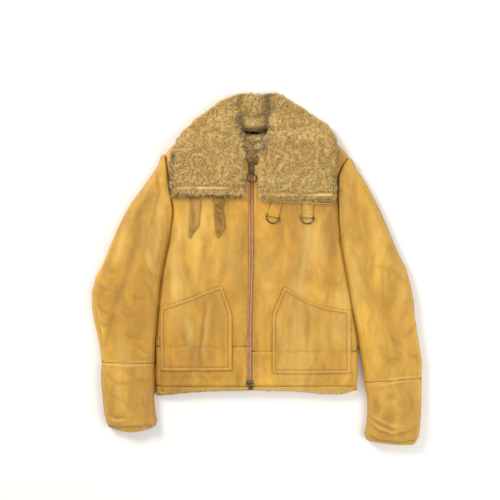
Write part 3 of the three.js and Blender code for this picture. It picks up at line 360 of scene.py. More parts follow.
leftCuffFolds = [
    (1.5, 6, 0.26, [(-352, -250), (-330, -268), (-300, -272)]),
    (1.4, 6, 0.24, [(-344, -296), (-318, -312), (-292, -338)]),
    (1.3, 5, 0.24, [(-300, -244), (-280, -264), (-256, -268)]),
    (1.5, 2.4, 0.60, [(-362, -366), (-352, -370), (-330, -373), (-300, -372), (-270, -371), (-244, -366)]),
    (-1.6, 4, 0.0, [(-362, -356), (-340, -364), (-300, -366), (-250, -362)]),
    (-2.2, 5, 0.0, [(-358, -352), (-330, -360), (-306, -356)]),
    (1.2, 5, 0.22, [(-350, -340), (-330, -350), (-306, -348)]),
    (1.2, 6, 0.20, [(-276, -300), (-262, -326), (-264, -352)]),
]
rightCuffFolds = [
    (1.6, 6, 0.28, [(306, -297), (322, -306), (338, -321)]),
    (2.0, 4, 0.42, [(262, -346), (282, -362), (310, -376), (338, -386)]),
    (-2.4, 4, 0.0, [(262, -340), (284, -356), (312, -370), (344, -374)]),
    (1.9, 4, 0.40, [(262, -364), (286, -382), (314, -392), (346, -388), (372, -374)]),
    (-2.2, 4, 0.0, [(264, -358), (292, -378), (318, -386), (350, -380)]),
    (1.5, 2.4, 0.60, [(266, -392), (284, -402), (312, -406), (346, -409), (374, -402)]),
    (1.3, 6, 0.22, [(352, -288), (364, -312), (362, -340)]),
    (1.2, 5, 0.22, [(272, -300), (284, -328), (280, -352)]),
]
backFolds = [
    (2.0, 14, 0.20, [(-150, 190), (-158, 110), (-148, 20), (-156, -70)]),
    (2.0, 14, 0.20, [(150, 196), (160, 120), (152, 30), (160, -60)]),
    (1.4, 12, 0.14, [(-30, 60), (-36, -30), (-26, -120)]),
    (1.4, 12, 0.14, [(60, 40), (54, -60), (62, -150)]),
]

folds = {"depth": 1.6, "shade": 1.5, "wander": 5.0, "wanderEvery": 26, "fullHalf": 8.0, "sewnHalf": 2.7,
         "middle": 0.84, "power": 0.6, "sewnPower": 0.2, "sewnDepth": 0.6, "tight": 1.2, "shadeHalf": 0.85,
         "sheenMiddle": 0.8, "sheenPower": 0.8, "brownShare": 0.8, "facingPower": 0.7,
         "soft": 1.1, "softScale": 17.0, "fine": 0.30, "fineScale": 55.0, "seedStep": 0.37}

# painted sheen highlights, and browner painted shade: how pale (browner below zero), half width and points
sheens = [
    (0.60, 8, [(-193, 48), (-196, 0), (-195, -76)]),
    (0.45, 13, [(-144, 112), (-150, 76), (-146, 30)]),
    (0.30, 16, [(-56, 96), (-60, 40), (-52, -40)]),
    (0.34, 9, [(104, -44), (132, -58), (168, -74)]),
    (0.36, 8, [(190, -48), (192, -70), (188, -84)]),
    (0.26, 14, [(26, 60), (22, 0), (28, -90)]),
    (-0.50, 15, [(176, 60), (178, 10), (172, -50)]),
    (-0.42, 11, [(-117, 60), (-116, 0), (-112, -44)]),
    (-0.30, 18, [(80, 120), (96, 40), (90, -20)]),
    (-0.34, 12, [(-214, 120), (-218, 40), (-222, -60)]),
    (0.50, 10, [(-310, 100), (-318, 60), (-327, 20)]),
    (0.44, 12, [(-222, 172), (-236, 62), (-252, 0)]),
    (-0.42, 13, [(-256, 156), (-274, 110), (-294, 26), (-308, -24)]),
    (-0.45, 7, [(-240, 236), (-264, 198), (-300, 142), (-332, 74), (-352, 12), (-366, -20)]),
    (-0.40, 6, [(-366, -230), (-364, -300), (-356, -366)]),
    (-0.34, 6, [(236, 232), (274, 168), (320, 66), (362, -40), (374, -114)]),
    (-0.50, 13, [(-318, -50), (-332, -76), (-340, -150), (-336, -206)]),
    (-0.35, 18, [(-280, -90), (-274, -140), (-286, -200)]),
    (0.36, 12, [(258, 178), (286, 96), (304, 20)]),
    (0.30, 14, [(330, 60), (344, -20), (346, -90)]),
    (-0.36, 12, [(300, -60), (310, -120), (330, -200)]),
    (-0.30, 12, [(230, 180), (236, 90), (244, 20)]),
    (0.42, 9, [(-166, -112), (-160, -150), (-160, -190)]),
    (0.38, 7, [(-113, -84), (-118, -140), (-125, -210)]),
    (-0.45, 9, [(-80, -112), (-78, -170), (-80, -232)]),
    (-0.40, 10, [(120, -112), (122, -140), (118, -170)]),
    (0.30, 10, [(88, -90), (92, -130), (86, -160)]),
    (0.35, 8, [(-148, -246), (-142, -262), (-146, -272)]),
    (-0.50, 6, [(-132, -248), (-131, -262), (-134, -276)]),
    (0.36, 5, [(200, -272), (214, -250), (228, -228)]),
    (-0.30, 14, [(60, -262), (120, -268), (180, -262)]),
    (0.36, 9, [(-330, -262), (-322, -300), (-312, -330)]),
    (-0.34, 12, [(-290, -262), (-296, -310), (-280, -350)]),
    (0.36, 8, [(336, -300), (322, -312), (300, -318)]),
    (-0.36, 12, [(280, -340), (320, -352), (362, -344)]),
    (0.60, 3.0, [(262, -338), (284, -354), (312, -368), (344, -372)]),
    (0.55, 3.0, [(264, -356), (292, -376), (318, -384), (350, -378)]),
    (0.50, 3.0, [(-358, -350), (-330, -358), (-306, -354)]),
    (0.55, 2.6, [(-384, 0), (-383, -51), (-374, -100), (-363, -154), (-364, -200)]),
    (-0.40, 9, [(-226, -112), (-224, -170), (-224, -232)]),
    (-0.45, 10, [(60, 140), (120, 142), (176, 134)]),
    (-0.40, 10, [(-170, 150), (-120, 150), (-50, 148)]),
    (0.55, 7, [(-190, 112), (-182, 90), (-186, 60)]),
    (0.50, 8, [(-96, 70), (-92, 30), (-98, -20)]),
    (-0.45, 9, [(-74, 120), (-70, 60), (-76, 0)]),
]


def bell(away, half):
    return np.exp(-((away / half) ** 2))


def fadeAlong(share, middle, power):
    # one over the middle part of a path, and weaker towards both ends
    return np.sin(np.pi * np.clip(share * middle + (1 - middle) / 2, 0, 1)) ** power


def sheenAt(places, way):
    # how much of the pale sheen, or of the brown shade, lies on each place
    share = np.zeros(len(places))
    for pale, half, path in sheens:
        if pale * way > 0:
            away, along = alongPath(places, path)
            fade = fadeAlong(along, folds["sheenMiddle"], folds["sheenPower"])
            share = np.maximum(share, abs(pale) * bell(away, half) * fade)
    return share


def alongPath(places, path):
    # distance of each place from a path in millimetres, and how far along the path it is, from 0 to 1
    corners = np.array(path, float)
    steps = np.linalg.norm(np.diff(corners, axis=0), axis=1)
    before = np.concatenate([[0], np.cumsum(steps)])
    nearest = np.full(len(places), 1e9)
    share = np.zeros(len(places))
    for k in range(len(steps)):
        run = corners[k + 1] - corners[k]
        part = np.clip(((places - corners[k]) @ run) / max(steps[k] ** 2, 1e-9), 0, 1)
        away = np.linalg.norm(places - corners[k] - part[:, None] * run, axis=1)
        closer = away < nearest
        nearest[closer] = away[closer]
        share[closer] = ((before[k] + part * steps[k]) / before[-1])[closer]
    return nearest, share


def foldedAt(places, rows):
    # height and painted shade that the folds give at each place; sewn lines, the narrowest, don't wander or
    # fade
    straight = places
    places = places.copy()
    for k, (x, y) in enumerate(places):
        spot = Vector((x / folds["wanderEvery"], y / folds["wanderEvery"], 3.3))
        other = spot + Vector((9, 4, 2))
        places[k] += folds["wander"] * noise.noise(spot), folds["wander"] * noise.noise(other)
    lift = np.zeros(len(places))
    dark = np.zeros(len(places))
    for deep, half, shade, path in rows:
        sewn = half < folds["sewnHalf"]
        away, share = alongPath(straight if sewn else places, path)
        fade = fadeAlong(share, folds["middle"], folds["sewnPower" if sewn else "power"])
        press = np.exp(-((away / half) ** 2) * folds["tight"]) * fade
        depth = folds["sewnDepth"] if sewn else min(1, half / folds["fullHalf"])
        lift -= folds["depth"] * deep * press * depth
        dark = np.maximum(dark, folds["shade"] * shade * bell(away, half * folds["shadeHalf"]) * fade)
    return lift, dark


def looseAt(places, seed):
    # slight unevenness of a worn skin
    lift = np.empty(len(places))
    for k, (x, y) in enumerate(places / perMetre):
        spot = Vector((x, y, seed * folds["seedStep"]))
        lift[k] = folds["soft"] * noise.noise(spot * folds["softScale"])
        lift[k] += folds["fine"] * noise.noise(spot * folds["fineScale"])
    return lift


# each gather's shade is painted shade in its trough
puckers = {"start": (0.2, 0.8), "tilt": 0.35, "reach": (0.5, 1.1), "deep": (0.4, 1.2), "half": (1.8, 2.9),
           "shade": 0.16, "spacing": (0.6, 1.6)}


def puckersOn(path, seed, spacing, reach, deep, side=0):
    # short gathers across a seam, as fold rows; side is -1, 1 or 0 for both
    draw = np.random.default_rng(seed)
    corners = np.array(path, float)
    rows = []
    for a, b in zip(corners[:-1], corners[1:]):
        run = b - a
        long = np.linalg.norm(run)
        run = run / long
        out = np.array([-run[1], run[0]])
        at = spacing * draw.uniform(*puckers["start"])
        while at < long:
            start = a + run * at
            for way in ((-1, 1) if side == 0 else (side,)):
                tilt = run * draw.uniform(-puckers["tilt"], puckers["tilt"])
                end = start + (out * way + tilt) * reach * draw.uniform(*puckers["reach"])
                rows.append((deep * draw.uniform(*puckers["deep"]), draw.uniform(*puckers["half"]),
                             puckers["shade"], [tuple(start), tuple(end)]))
            at += spacing * draw.uniform(*puckers["spacing"])
    return rows


def copyOf(nodeName, pieceName):
    # a merged copy of a solid's mesh as a new piece at the origin
    bpy.ops.object.select_all(action="DESELECT")
    piece = bpy.data.objects.new(pieceName, nodes[nodeName].data.copy())
    scene.collection.objects.link(piece)
    piece.data.materials.clear()
    piece.select_set(True)
    bpy.context.view_layer.objects.active = piece
    bpy.ops.object.mode_set(mode="EDIT")
    bpy.ops.mesh.select_all(action="SELECT")
    bpy.ops.mesh.remove_doubles(threshold=0.00002)
    bpy.ops.object.mode_set(mode="OBJECT")
    return piece


def applyModifier(piece, kind, name, **settings):
    modifier = piece.modifiers.new(name, kind)
    for key, value in settings.items():
        setattr(modifier, key, value)
    bpy.context.view_layer.objects.active = piece
    bpy.ops.object.modifier_apply(modifier=name)


def rowsFrom(items, name):
    rows = np.empty(len(items) * 3)
    items.foreach_get(name, rows)
    return rows.reshape(-1, 3)


def pointsOf(piece):
    return rowsFrom(piece.data.vertices, "co")


def normalsOf(piece):
    return rowsFrom(piece.data.vertices, "normal")


def placePoints(piece, points):
    piece.data.vertices.foreach_set("co", points.ravel())
    piece.data.update()


def marked(piece, name, values):
    mark = piece.data.attributes.get(name) or piece.data.attributes.new(name, "FLOAT", "POINT")
    mark.data.foreach_set("value", np.clip(values, 0, 1).astype(np.float32))


def deleteFaces(piece, chosen):
    # chosen is a yes or no for each face
    bpy.context.view_layer.objects.active = piece
    bpy.ops.object.mode_set(mode="EDIT")
    bpy.ops.mesh.select_all(action="DESELECT")
    bpy.ops.mesh.select_mode(type="FACE")
    bpy.ops.object.mode_set(mode="OBJECT")
    piece.data.polygons.foreach_set("select", chosen)
    bpy.ops.object.mode_set(mode="EDIT")
    bpy.ops.mesh.delete(type="FACE")
    bpy.ops.object.mode_set(mode="OBJECT")


# how far down a face looks when it belongs to a hidden underside, or when it is lowered
undersides = {"dropped": -0.35, "lowered": -0.3}


def finer(nodeName, pieceName, grid, smoothing, levels=3, deepen=0.0):
    # deepen lowers the underside of a thin piece, so that the remesh keeps its wall
    piece = copyOf(nodeName, pieceName)
    if grid is None:
        applyModifier(piece, "SUBSURF", "fine", subdivision_type="SIMPLE", levels=levels,
                      render_levels=levels)
        return piece
    if deepen:
        points = pointsOf(piece)
        points[:, 2] -= np.where(normalsOf(piece)[:, 2] < undersides["lowered"], deepen, 0)
        placePoints(piece, points)
    applyModifier(piece, "REMESH", "even", mode="VOXEL", voxel_size=grid)
    applyModifier(piece, "SMOOTH", "soft", factor=0.5, iterations=smoothing)
    applyModifier(piece, "SHRINKWRAP", "form", target=nodes[nodeName], wrap_method="NEAREST_SURFACEPOINT")
    applyModifier(piece, "SMOOTH", "last", factor=0.5, iterations=1)
    return piece


def faceNormals(piece):
    return rowsFrom(piece.data.polygons, "normal")


def pressFolds(piece, plan):
    # moves the outer side of a skin by its folds and marks them for the finish: painted shade in the folds and
    # browner sheen places, painted sheen highlights on the pale ones
    points = pointsOf(piece)
    places = points[:, :2] * perMetre
    lift, dark = foldedAt(places, plan["folds"])
    lift = lift + looseAt(places, plan["seed"])
    pale = sheenAt(places, 1) * plan["sheening"]
    dark = np.maximum(dark, sheenAt(places, -1) * plan["sheening"] * folds["brownShare"]) + plan["dusk"]
    if plan["extra"] is not None:
        more, shade, crests = plan["extra"](places)
        lift = lift + more
        dark = np.maximum(dark, shade)
        pale = np.maximum(pale, crests)
    facing = np.clip(normalsOf(piece)[:, 2] * plan["up"], 0, 1) ** folds["facingPower"]
    points[:, 2] += plan["up"] * lift * facing / perMetre
    placePoints(piece, points)
    marked(piece, "creaseShade", dark)
    marked(piece, "worn", pale)


def smoothShade(piece):
    bpy.ops.object.select_all(action="DESELECT")
    piece.select_set(True)
    bpy.context.view_layer.objects.active = piece
    bpy.ops.object.shade_smooth()


# where a skin's edge tilts: painted shade from one tilt on, palest at another
edgeTilts = {"dark": 0.45, "pale": 0.30, "paleHalf": 0.12}


def edgeShadeAndSheen(piece, shade, pale):
    # seams and turned edges: painted shade on the joint's steep walls, and a paler crest beside it that is
    # partly wear and partly painted highlight
    tilt = 1 - np.clip(np.abs(normalsOf(piece)[:, 2]), 0, 1)
    dark = shade * np.clip((tilt - edgeTilts["dark"]) / edgeTilts["dark"], 0, 1)
    crest = pale * bell(tilt - edgeTilts["pale"], edgeTilts["paleHalf"])
    mark = np.empty(len(tilt), np.float32)
    for name, values in (("creaseShade", dark), ("worn", crest)):
        piece.data.attributes[name].data.foreach_get("value", mark)
        marked(piece, name, np.maximum(mark, values))


# what a skin has when its own plan says nothing else; wall and deepen are in metres
usualPlan = {"grid": None, "smoothing": 4, "levels": 3, "deepen": 0.0, "under": False, "wall": 0.0018,
             "up": 1.0, "folds": [], "extra": None, "dusk": 0.0, "sheening": 1.0, "edgeShade": 0.45,
             "edgeWearAndSheen": 0.5, "area": None, "finish": leather, "slot": "leather"}


def leatherSkin(nodeName, plan):
    plan = {**usualPlan, **plan}
    piece = finer(nodeName, plan["name"], plan["grid"], plan["smoothing"], plan["levels"], plan["deepen"])
    if not plan["under"]:
        deleteFaces(piece, faceNormals(piece)[:, 2] < undersides["dropped"])
    pressFolds(piece, plan)
    edgeShadeAndSheen(piece, plan["edgeShade"], plan["edgeWearAndSheen"])
    if not plan["under"]:
        applyModifier(piece, "SOLIDIFY", "skin", thickness=plan["wall"], offset=-1)
    smoothShade(piece)
    piece.data.materials.append(plan["finish"])
    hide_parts(nodeName)
    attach(piece, "jacket")
    return piece


# seam lines that gather the leather, in millimetres
leftCuffSeam = [(-366, -221), (-340, -224), (-313, -226), (-280, -224), (-240, -222)]
rightCuffSeam = [(251, -269), (270, -271), (290, -271), (331, -262), (360, -259), (388, -259)]
leftWaist = [(-57, -184), (-18, -184)]
rightWaist = [(-10, -195), (34, -195)]


def ridgesBeside(path, away, rise, half):
    # a low welt on each side of a seam
    return [(-rise, half, 0.0, [(x, y + side * away) for x, y in path]) for side in (-1, 1)]


waistRidges = ridgesBeside(leftWaist, 3.6, 0.7, 2.6) + ridgesBeside(rightWaist, 3.6, 0.7, 2.6)
cuffRidges = ridgesBeside(leftCuffSeam, 3.8, 1.7, 2.6) + ridgesBeside(rightCuffSeam, 3.8, 1.7, 2.6)
# painted highlights along the welts beside the cuff and waist seams
sheens += [(1.0, 2.4, row[3]) for row in cuffRidges] + [(0.30, 2.4, row[3]) for row in waistRidges]
underPocket = [(0.9, 3.0, 0.34, [(-236, -184), (-52, -184)]), (0.8, 3.0, 0.22, [(30, -195), (226, -195)])]
onFronts = bodyFolds + underPocket + leftPocketFolds + rightPocketFolds + waistRidges

under = {"levels": 2, "under": True}
front = {"grid": 0.0034}
waist = {"grid": 0.0029, "edgeShade": 0.3}
sleeve = {"grid": 0.0032}
cuff = {"grid": 0.0029, "dusk": 0.15, "flat": (0.14, 0.17)}
# pockets get the strongest painted shade on their edge walls
pocket = {"grid": 0.0021, "smoothing": 2, "deepen": 0.005, "edgeShade": 0.85, "area": 0.034}
skins = {
    "back_panel": {**under, "name": "back", "folds": backFolds, "seed": 3, "up": -0.4, "flat": (0.50, 0.64)},
    "front_left": {**front, "name": "left_front", "seed": 11, "flat": (0.24, 0.47),
                   "folds": onFronts + puckersOn(leftWaist, 5, 12, 11, 0.8)},
    "front_right": {**front, "name": "right_front", "seed": 12, "flat": (0.25, 0.48),
                    "folds": onFronts + puckersOn(rightWaist, 6, 12, 11, 0.8)},
    "waistband_left": {**waist, "name": "left_waist", "seed": 13, "flat": (0.24, 0.11),
                       "folds": onFronts + puckersOn(leftWaist, 7, 12, 12, 0.8)},
    "waistband_right": {**waist, "name": "right_waist", "seed": 14, "flat": (0.25, 0.11),
                        "folds": onFronts + puckersOn(rightWaist, 8, 12, 12, 0.8)},
    "sleeve_left_under": {**under, "name": "left_sleeve_back", "folds": leftSleeveFolds[:6], "seed": 21,
                          "flat": (0.17, 0.50)},
    "sleeve_right_under": {**under, "name": "right_sleeve_back", "folds": rightSleeveFolds[:6], "seed": 22,
                           "flat": (0.17, 0.53)},
    "sleeve_left_top": {**sleeve, "name": "left_sleeve", "seed": 23, "dusk": 0.15, "flat": (0.18, 0.52),
                        "folds": leftSleeveFolds + cuffRidges + puckersOn(leftCuffSeam, 9, 9, 15, 1.4, 1)},
    "sleeve_right_top": {
        **sleeve, "name": "right_sleeve", "seed": 24, "flat": (0.18, 0.55),
        "folds": rightSleeveFolds + cuffRidges + puckersOn(rightCuffSeam, 10, 9, 15, 1.4, 1)},
    "cuff_left_under": {**under, "name": "left_cuff_back", "folds": leftCuffFolds[:2], "seed": 25,
                        "flat": (0.14, 0.17)},
    "cuff_right_under": {**under, "name": "right_cuff_back", "folds": rightCuffFolds[:2], "seed": 26,
                         "flat": (0.14, 0.17)},
    "cuff_left_top": {**cuff, "name": "left_cuff", "seed": 27,
                      "folds": leftCuffFolds + cuffRidges + puckersOn(leftCuffSeam, 31, 9, 12, 1.2, -1)},
    "cuff_right_top": {**cuff, "name": "right_cuff", "seed": 28,
                       "folds": rightCuffFolds + cuffRidges + puckersOn(rightCuffSeam, 32, 9, 12, 1.2, -1)},
    "pocket_left": {**pocket, "name": "left_pocket", "seed": 11, "flat": (0.19, 0.22)},
    "pocket_right": {**pocket, "name": "right_pocket", "seed": 12, "dusk": 0.20, "flat": (0.20, 0.22)},
}
# patch pockets: corners in millimetres, the turned edge's crest and the sewn groove inside it
pocketEdges = {
    "pocket_left": [(-228, -92), (-205, -85), (-157, -69), (-120, -53), (-83, -40), (-76, -57), (-67, -82),
                    (-60, -103), (-59.5, -239), (-120, -240), (-228, -240)],
    "pocket_right": [(219, -98), (192, -95), (162, -89), (123, -76), (84, -54), (64, -41), (55, -62),
                     (46, -83), (37, -105), (35.5, -118), (35.5, -246), (120, -247), (219, -246)],
}
pocketSewing = {"crest": 4.2, "crestHalf": 2.8, "rise": 0.8, "groove": 8.0, "grooveHalf": 1.5, "deep": 1.5,
                "shade": 1.1, "pale": 0.28, "proud": 1.4, "gatherEvery": 11, "gather": 11, "gatherDeep": 0.8,
                "mouthInside": 0.09, "mouthCorners": 5}


def pocketRelief(places, nodeName):
    # painted shade in the sewn groove, and a paler crest that is partly wear and partly painted highlight
    edge = pocketEdges[nodeName]
    away = alongPath(places, edge + edge[:1])[0]
    crest = bell(away - pocketSewing["crest"], pocketSewing["crestHalf"])
    groove = bell(away - pocketSewing["groove"], pocketSewing["grooveHalf"])
    lift = pocketSewing["rise"] * crest + pocketSewing["proud"] - pocketSewing["deep"] * groove
    return lift, pocketSewing["shade"] * groove, pocketSewing["pale"] * crest


def gathersInside(edge, seed):
    # puckers along the pocket's slanted mouth, drawn inward from the sewn groove
    corners = np.array(edge)
    middle = corners.mean(axis=0)
    path = corners + (middle - corners) * pocketSewing["mouthInside"]
    return puckersOn(path[:pocketSewing["mouthCorners"]], seed, pocketSewing["gatherEvery"],
                     pocketSewing["gather"], pocketSewing["gatherDeep"])


ownFolds = {"pocket_left": (leftPocketFolds, 41), "pocket_right": (rightPocketFolds, 42)}
for nodeName, (foldRows, seed) in ownFolds.items():
    gathers = gathersInside(pocketEdges[nodeName], seed)
    skins[nodeName]["folds"] = bodyFolds + underPocket + foldRows + gathers
    skins[nodeName]["extra"] = lambda places, nodeName=nodeName: pocketRelief(places, nodeName)

made = {}
for nodeName, plan in skins.items():
    made[nodeName] = leatherSkin(nodeName, plan)
    print(plan["name"], "skin made,", len(made[nodeName].data.polygons), "faces")

# narrow trims: straps, ring tabs and the whipped binding round the hem
binding = {"pitch": 8.6, "slant": 0.9, "rise": 2.8, "middle": 0.6, "groove": 0.30, "shade": 0.6, "pale": 1.4,
           "sway": 0.5, "swayEvery": 17.0, "even": 0.80, "unevenEvery": 23.0}
strapFolds = [
    (1.3, 3.2, 0.66, [(-102, 154), (-93, 147), (-80, 137)]),
    (1.1, 3.0, 0.66, [(-78, 160), (-86, 151), (-96, 145)]),
    (0.8, 3.0, 0.50, [(-100, 134), (-91, 128), (-82, 130)]),
    (0.7, 3.5, 0.40, [(-98, 122), (-88, 114), (-80, 100)]),
    (0.5, 4, 0.26, [(-154, 160), (-148, 120), (-152, 92)]),
    (0.4, 6, 0.50, [(-158, 92), (-152, 86), (-146, 94)]),
    (0.4, 5, 0.45, [(-94, 88), (-90, 82), (-86, 90)]),
]


def whipped(places, strength):
    # lobes of the whipped thread with a narrow groove between each two: painted shade in each groove and a
    # painted highlight along each lobe
    turn = np.pi * (places[:, 0] + binding["slant"] * places[:, 1]) / binding["pitch"]
    lobe = np.abs(np.sin(turn + binding["sway"] * np.sin(places[:, 0] / binding["swayEvery"])))
    wave = np.sin(places[:, 0] / binding["unevenEvery"])
    uneven = strength * (binding["even"] + (1 - binding["even"]) * wave)
    groove = bell(lobe, binding["groove"])
    rise = binding["rise"] * (lobe - binding["middle"])
    return rise * uneven, binding["shade"] * groove * uneven, binding["pale"] * lobe * uneven


# trims get stronger painted shade on their edge walls, the straps the strongest
usualTrim = {"under": True, "smoothing": 3, "slot": "leather_trim", "edgeShade": 0.7, "edgeWearAndSheen": 0.35,
             "sheening": 0.3}
frontBinding = {"grid": 0.0015, "edgeShade": 0.3, "edgeWearAndSheen": 0.7}
strap = {"grid": 0.0011, "seed": 11, "folds": bodyFolds + strapFolds, "flat": (0.026, 0.11), "finish": trim,
         "edgeShade": 1.0}
ringTab = {"grid": 0.0010, "seed": 12, "flat": (0.025, 0.084)}
trims = {
    "hem_binding_back": {"name": "hem_binding_behind", "grid": 0.0028, "seed": 51, "flat": (0.50, 0.05),
                         "area": 0.010, "edgeShade": 0.3},
    "hem_binding_left": {**frontBinding, "name": "hem_binding_left_front", "seed": 52,
                         "folds": puckersOn([(-226, -283), (-20, -281)], 53, 9, 13, 3.4, -1),
                         "extra": lambda places: whipped(places, 0.22),
                         "flat": (0.23, 0.045), "area": 0.0056},
    "hem_binding_right": {**frontBinding, "name": "hem_binding_right_front", "seed": 54,
                          "folds": puckersOn([(-6, -279), (226, -280)], 55, 12, 8, 0.4),
                          "extra": lambda places: whipped(places, 1.0),
                          "flat": (0.25, 0.045), "area": 0.0070},
    "strap_left_a": {**strap, "name": "outer_strap"},
    "strap_left_b": {**strap, "name": "inner_strap"},
    "tab_right_a": {**ringTab, "name": "inner_ring_tab"},
    "tab_right_b": {**ringTab, "name": "outer_ring_tab"},
}
for nodeName, plan in trims.items():
    made[nodeName] = leatherSkin(nodeName, {**usualTrim, **plan})
    print(plan["name"], "trim made,", len(made[nodeName].data.polygons), "faces")


# sewing thread: one stitch shaped once, then copied along each seam
def insetPath(path, inset):
    # a closed path moved inward by the same distance all round; its first corner comes again at its end
    corners = np.array(path, float)
    runIn = corners - np.roll(corners, 1, axis=0)
    runOut = np.roll(corners, -1, axis=0) - corners
    runIn /= np.linalg.norm(runIn, axis=1)[:, None]
    runOut /= np.linalg.norm(runOut, axis=1)[:, None]
    sideIn = np.stack([runIn[:, 1], -runIn[:, 0]], 1)
    sideOut = np.stack([runOut[:, 1], -runOut[:, 0]], 1)
    middle = sideIn + sideOut
    middle /= np.maximum((middle * sideIn).sum(1), 0.4)[:, None]
    moved = corners + middle * inset
    return np.concatenate([moved, moved[:1]])


def stitchPlaces(path, pitch):
    corners = np.array(path, float)
    steps = np.linalg.norm(np.diff(corners, axis=0), axis=1)
    total = np.concatenate([[0], np.cumsum(steps)])
    at = np.arange(pitch / 2, total[-1], pitch)
    x = np.interp(at, total, corners[:, 0])
    y = np.interp(at, total, corners[:, 1])
    ahead = np.clip(np.searchsorted(total, at, side="right") - 1, 0, len(steps) - 1)
    run = (corners[1:] - corners[:-1])[ahead] / steps[ahead][:, None]
    return np.stack([x, y], 1), run


trees = {}


def treeOf(piece):
    return BVHTree.FromObject(piece, bpy.context.evaluated_depsgraph_get())


def hitBelow(tree, x, y):
    # where a line from above meets a piece, and the way that it faces there
    return tree.ray_cast(Vector((x / perMetre, y / perMetre, 0.3)), Vector((0, 0, -1)))[:2]


def groundAt(x, y, names):
    # highest point of the named pieces under a place, and the way that it faces
    best = None
    for name in names:
        if name not in trees:
            trees[name] = treeOf(made[name])
        hit, normal = hitBelow(trees[name], x, y)
        if hit is not None and (best is None or hit.z > best[0].z):
            best = (hit, normal)
    return best


thread = {"pitch": 4.4, "long": 3.3, "wide": 0.85, "high": 0.55, "steepest": 0.4, "insets": (1.7, 8.2),
          "deep": (0.42, 0.20, 0.035), "light": (0.66, 0.38, 0.10), "roughness": 0.62}
seams = {
    "pocket_thread": [
        (insetPath(pocketEdges[name], inset), [name])
        for name in ("pocket_left", "pocket_right") for inset in thread["insets"]
    ],
    "front_thread": [
        ([(-22.5, 235), (-21.5, 170), (-20.5, 20), (-24.5, -112), (-25.5, -184), (-26, -270)],
         ["front_left", "waistband_left"]),
        ([(-3, 235), (-2.5, 170), (-1.5, 20), (-5.5, -112), (-6.5, -184), (-7, -270)],
         ["front_right", "waistband_right"]),
        ([(-228, -179.5), (-130, -179.5), (-26, -180)], ["front_left"]),
        ([(-4, -189.5), (100, -190.5), (226, -190.5)], ["front_right"]),
        ([(-226, -274), (-120, -273), (-24, -273)], ["waistband_left"]),
        ([(-6, -274), (110, -274), (226, -274)], ["waistband_right"]),
    ],
    "sleeve_thread": [
        ([(-364, -216), (-340, -219), (-313, -221), (-280, -219), (-243, -217)], ["sleeve_left_top"]),
        ([(-366, -226.5), (-340, -229), (-313, -231), (-280, -229), (-242, -228)], ["cuff_left_top"]),
        ([(254, -263.5), (270, -265), (290, -266), (331, -257), (360, -254), (386, -253.5)],
         ["sleeve_right_top"]),
        ([(254, -274), (270, -276), (290, -277), (331, -268), (360, -265), (386, -264)], ["cuff_right_top"]),
        ([(-354, -365), (-320, -374), (-286, -377), (-242, -366)], ["cuff_left_top"]),
        ([(258, -397), (290, -402), (330, -405), (366, -406), (376, -402)], ["cuff_right_top"]),
    ],
    "strap_thread": [
        ([(-153.4, 152), (-156, 108), (-157.5, 78)], ["strap_left_a"]),
        ([(-134.5, 152), (-137, 108), (-148, 88), (-157, 76)], ["strap_left_a"]),
        ([(-98.6, 134), (-98.6, 122), (-94.8, 96), (-93.4, 76)], ["strap_left_b"]),
        ([(-80, 134), (-79.3, 122), (-76.3, 98), (-83.6, 86), (-91.6, 75)], ["strap_left_b"]),
    ],
}

threadFinish, threadTree, threadShader = newFinish("waxed_thread")
twist = spanOf(threadTree, noiseAt(threadTree, objectPlace(threadTree), 900, 2), 0, 1, 0.3, 0.7)
feed(threadShader, "Base Color", mixOf(threadTree, twist, thread["deep"], thread["light"]))
fuzz = noiseAt(threadTree, objectPlace(threadTree), 1600, 2)
feed(threadShader, "Normal", bumpOf(threadTree, fuzz, 0.0002))
threadShader.inputs["Roughness"].default_value = thread["roughness"]


def joinedMesh(name, points, faces, finish):
    mesh = bpy.data.meshes.new(name)
    mesh.from_pydata([tuple(p) for p in points], [], [tuple(int(i) for i in f) for f in faces])
    mesh.update()
    mesh.polygons.foreach_set("use_smooth", [True] * len(mesh.polygons))
    piece = bpy.data.objects.new(name, mesh)
    scene.collection.objects.link(piece)
    mesh.materials.append(finish)
    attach(piece, "jacket")
    return piece


stitchFaces = [(0, 2, 4), (2, 1, 4), (1, 3, 4), (3, 0, 4), (2, 0, 5), (1, 2, 5), (3, 1, 5), (0, 3, 5)]
for seamName, rows in seams.items():
    points = []
    faces = []
    for path, names in rows:
        places, runs = stitchPlaces(path, thread["pitch"])
        for (x, y), (runX, runY) in zip(places, runs):
            ground = groundAt(x, y, names)
            if ground is None or ground[1].z < thread["steepest"]:
                continue
            spot, up = ground
            ahead = Vector((runX, runY, 0))
            ahead = (ahead - up * ahead.dot(up)).normalized()
            side = up.cross(ahead)
            first = len(points)
            ahead = ahead * thread["long"] / 2 / perMetre
            side = side * thread["wide"] / 2 / perMetre
            rise = up * thread["high"] / perMetre
            points += [spot - ahead, spot + ahead, spot - side, spot + side, spot + rise, spot - rise]
            faces += [(a + first, b + first, c + first) for a, b, c in stitchFaces]
    joinedMesh(seamName, points, faces, threadFinish)
    print(seamName, len(faces), "faces")

# seam allowances: a soft strip of leather lies at the foot of each open seam
# the strips are painted dark, darkest at the armholes, as painted shade in the seams' gaps
seamFoot = {"radius": 2.4, "beside": 5.0, "pitch": 8.0, "sides": 8, "armholeShade": 0.95, "dark": 0.55}
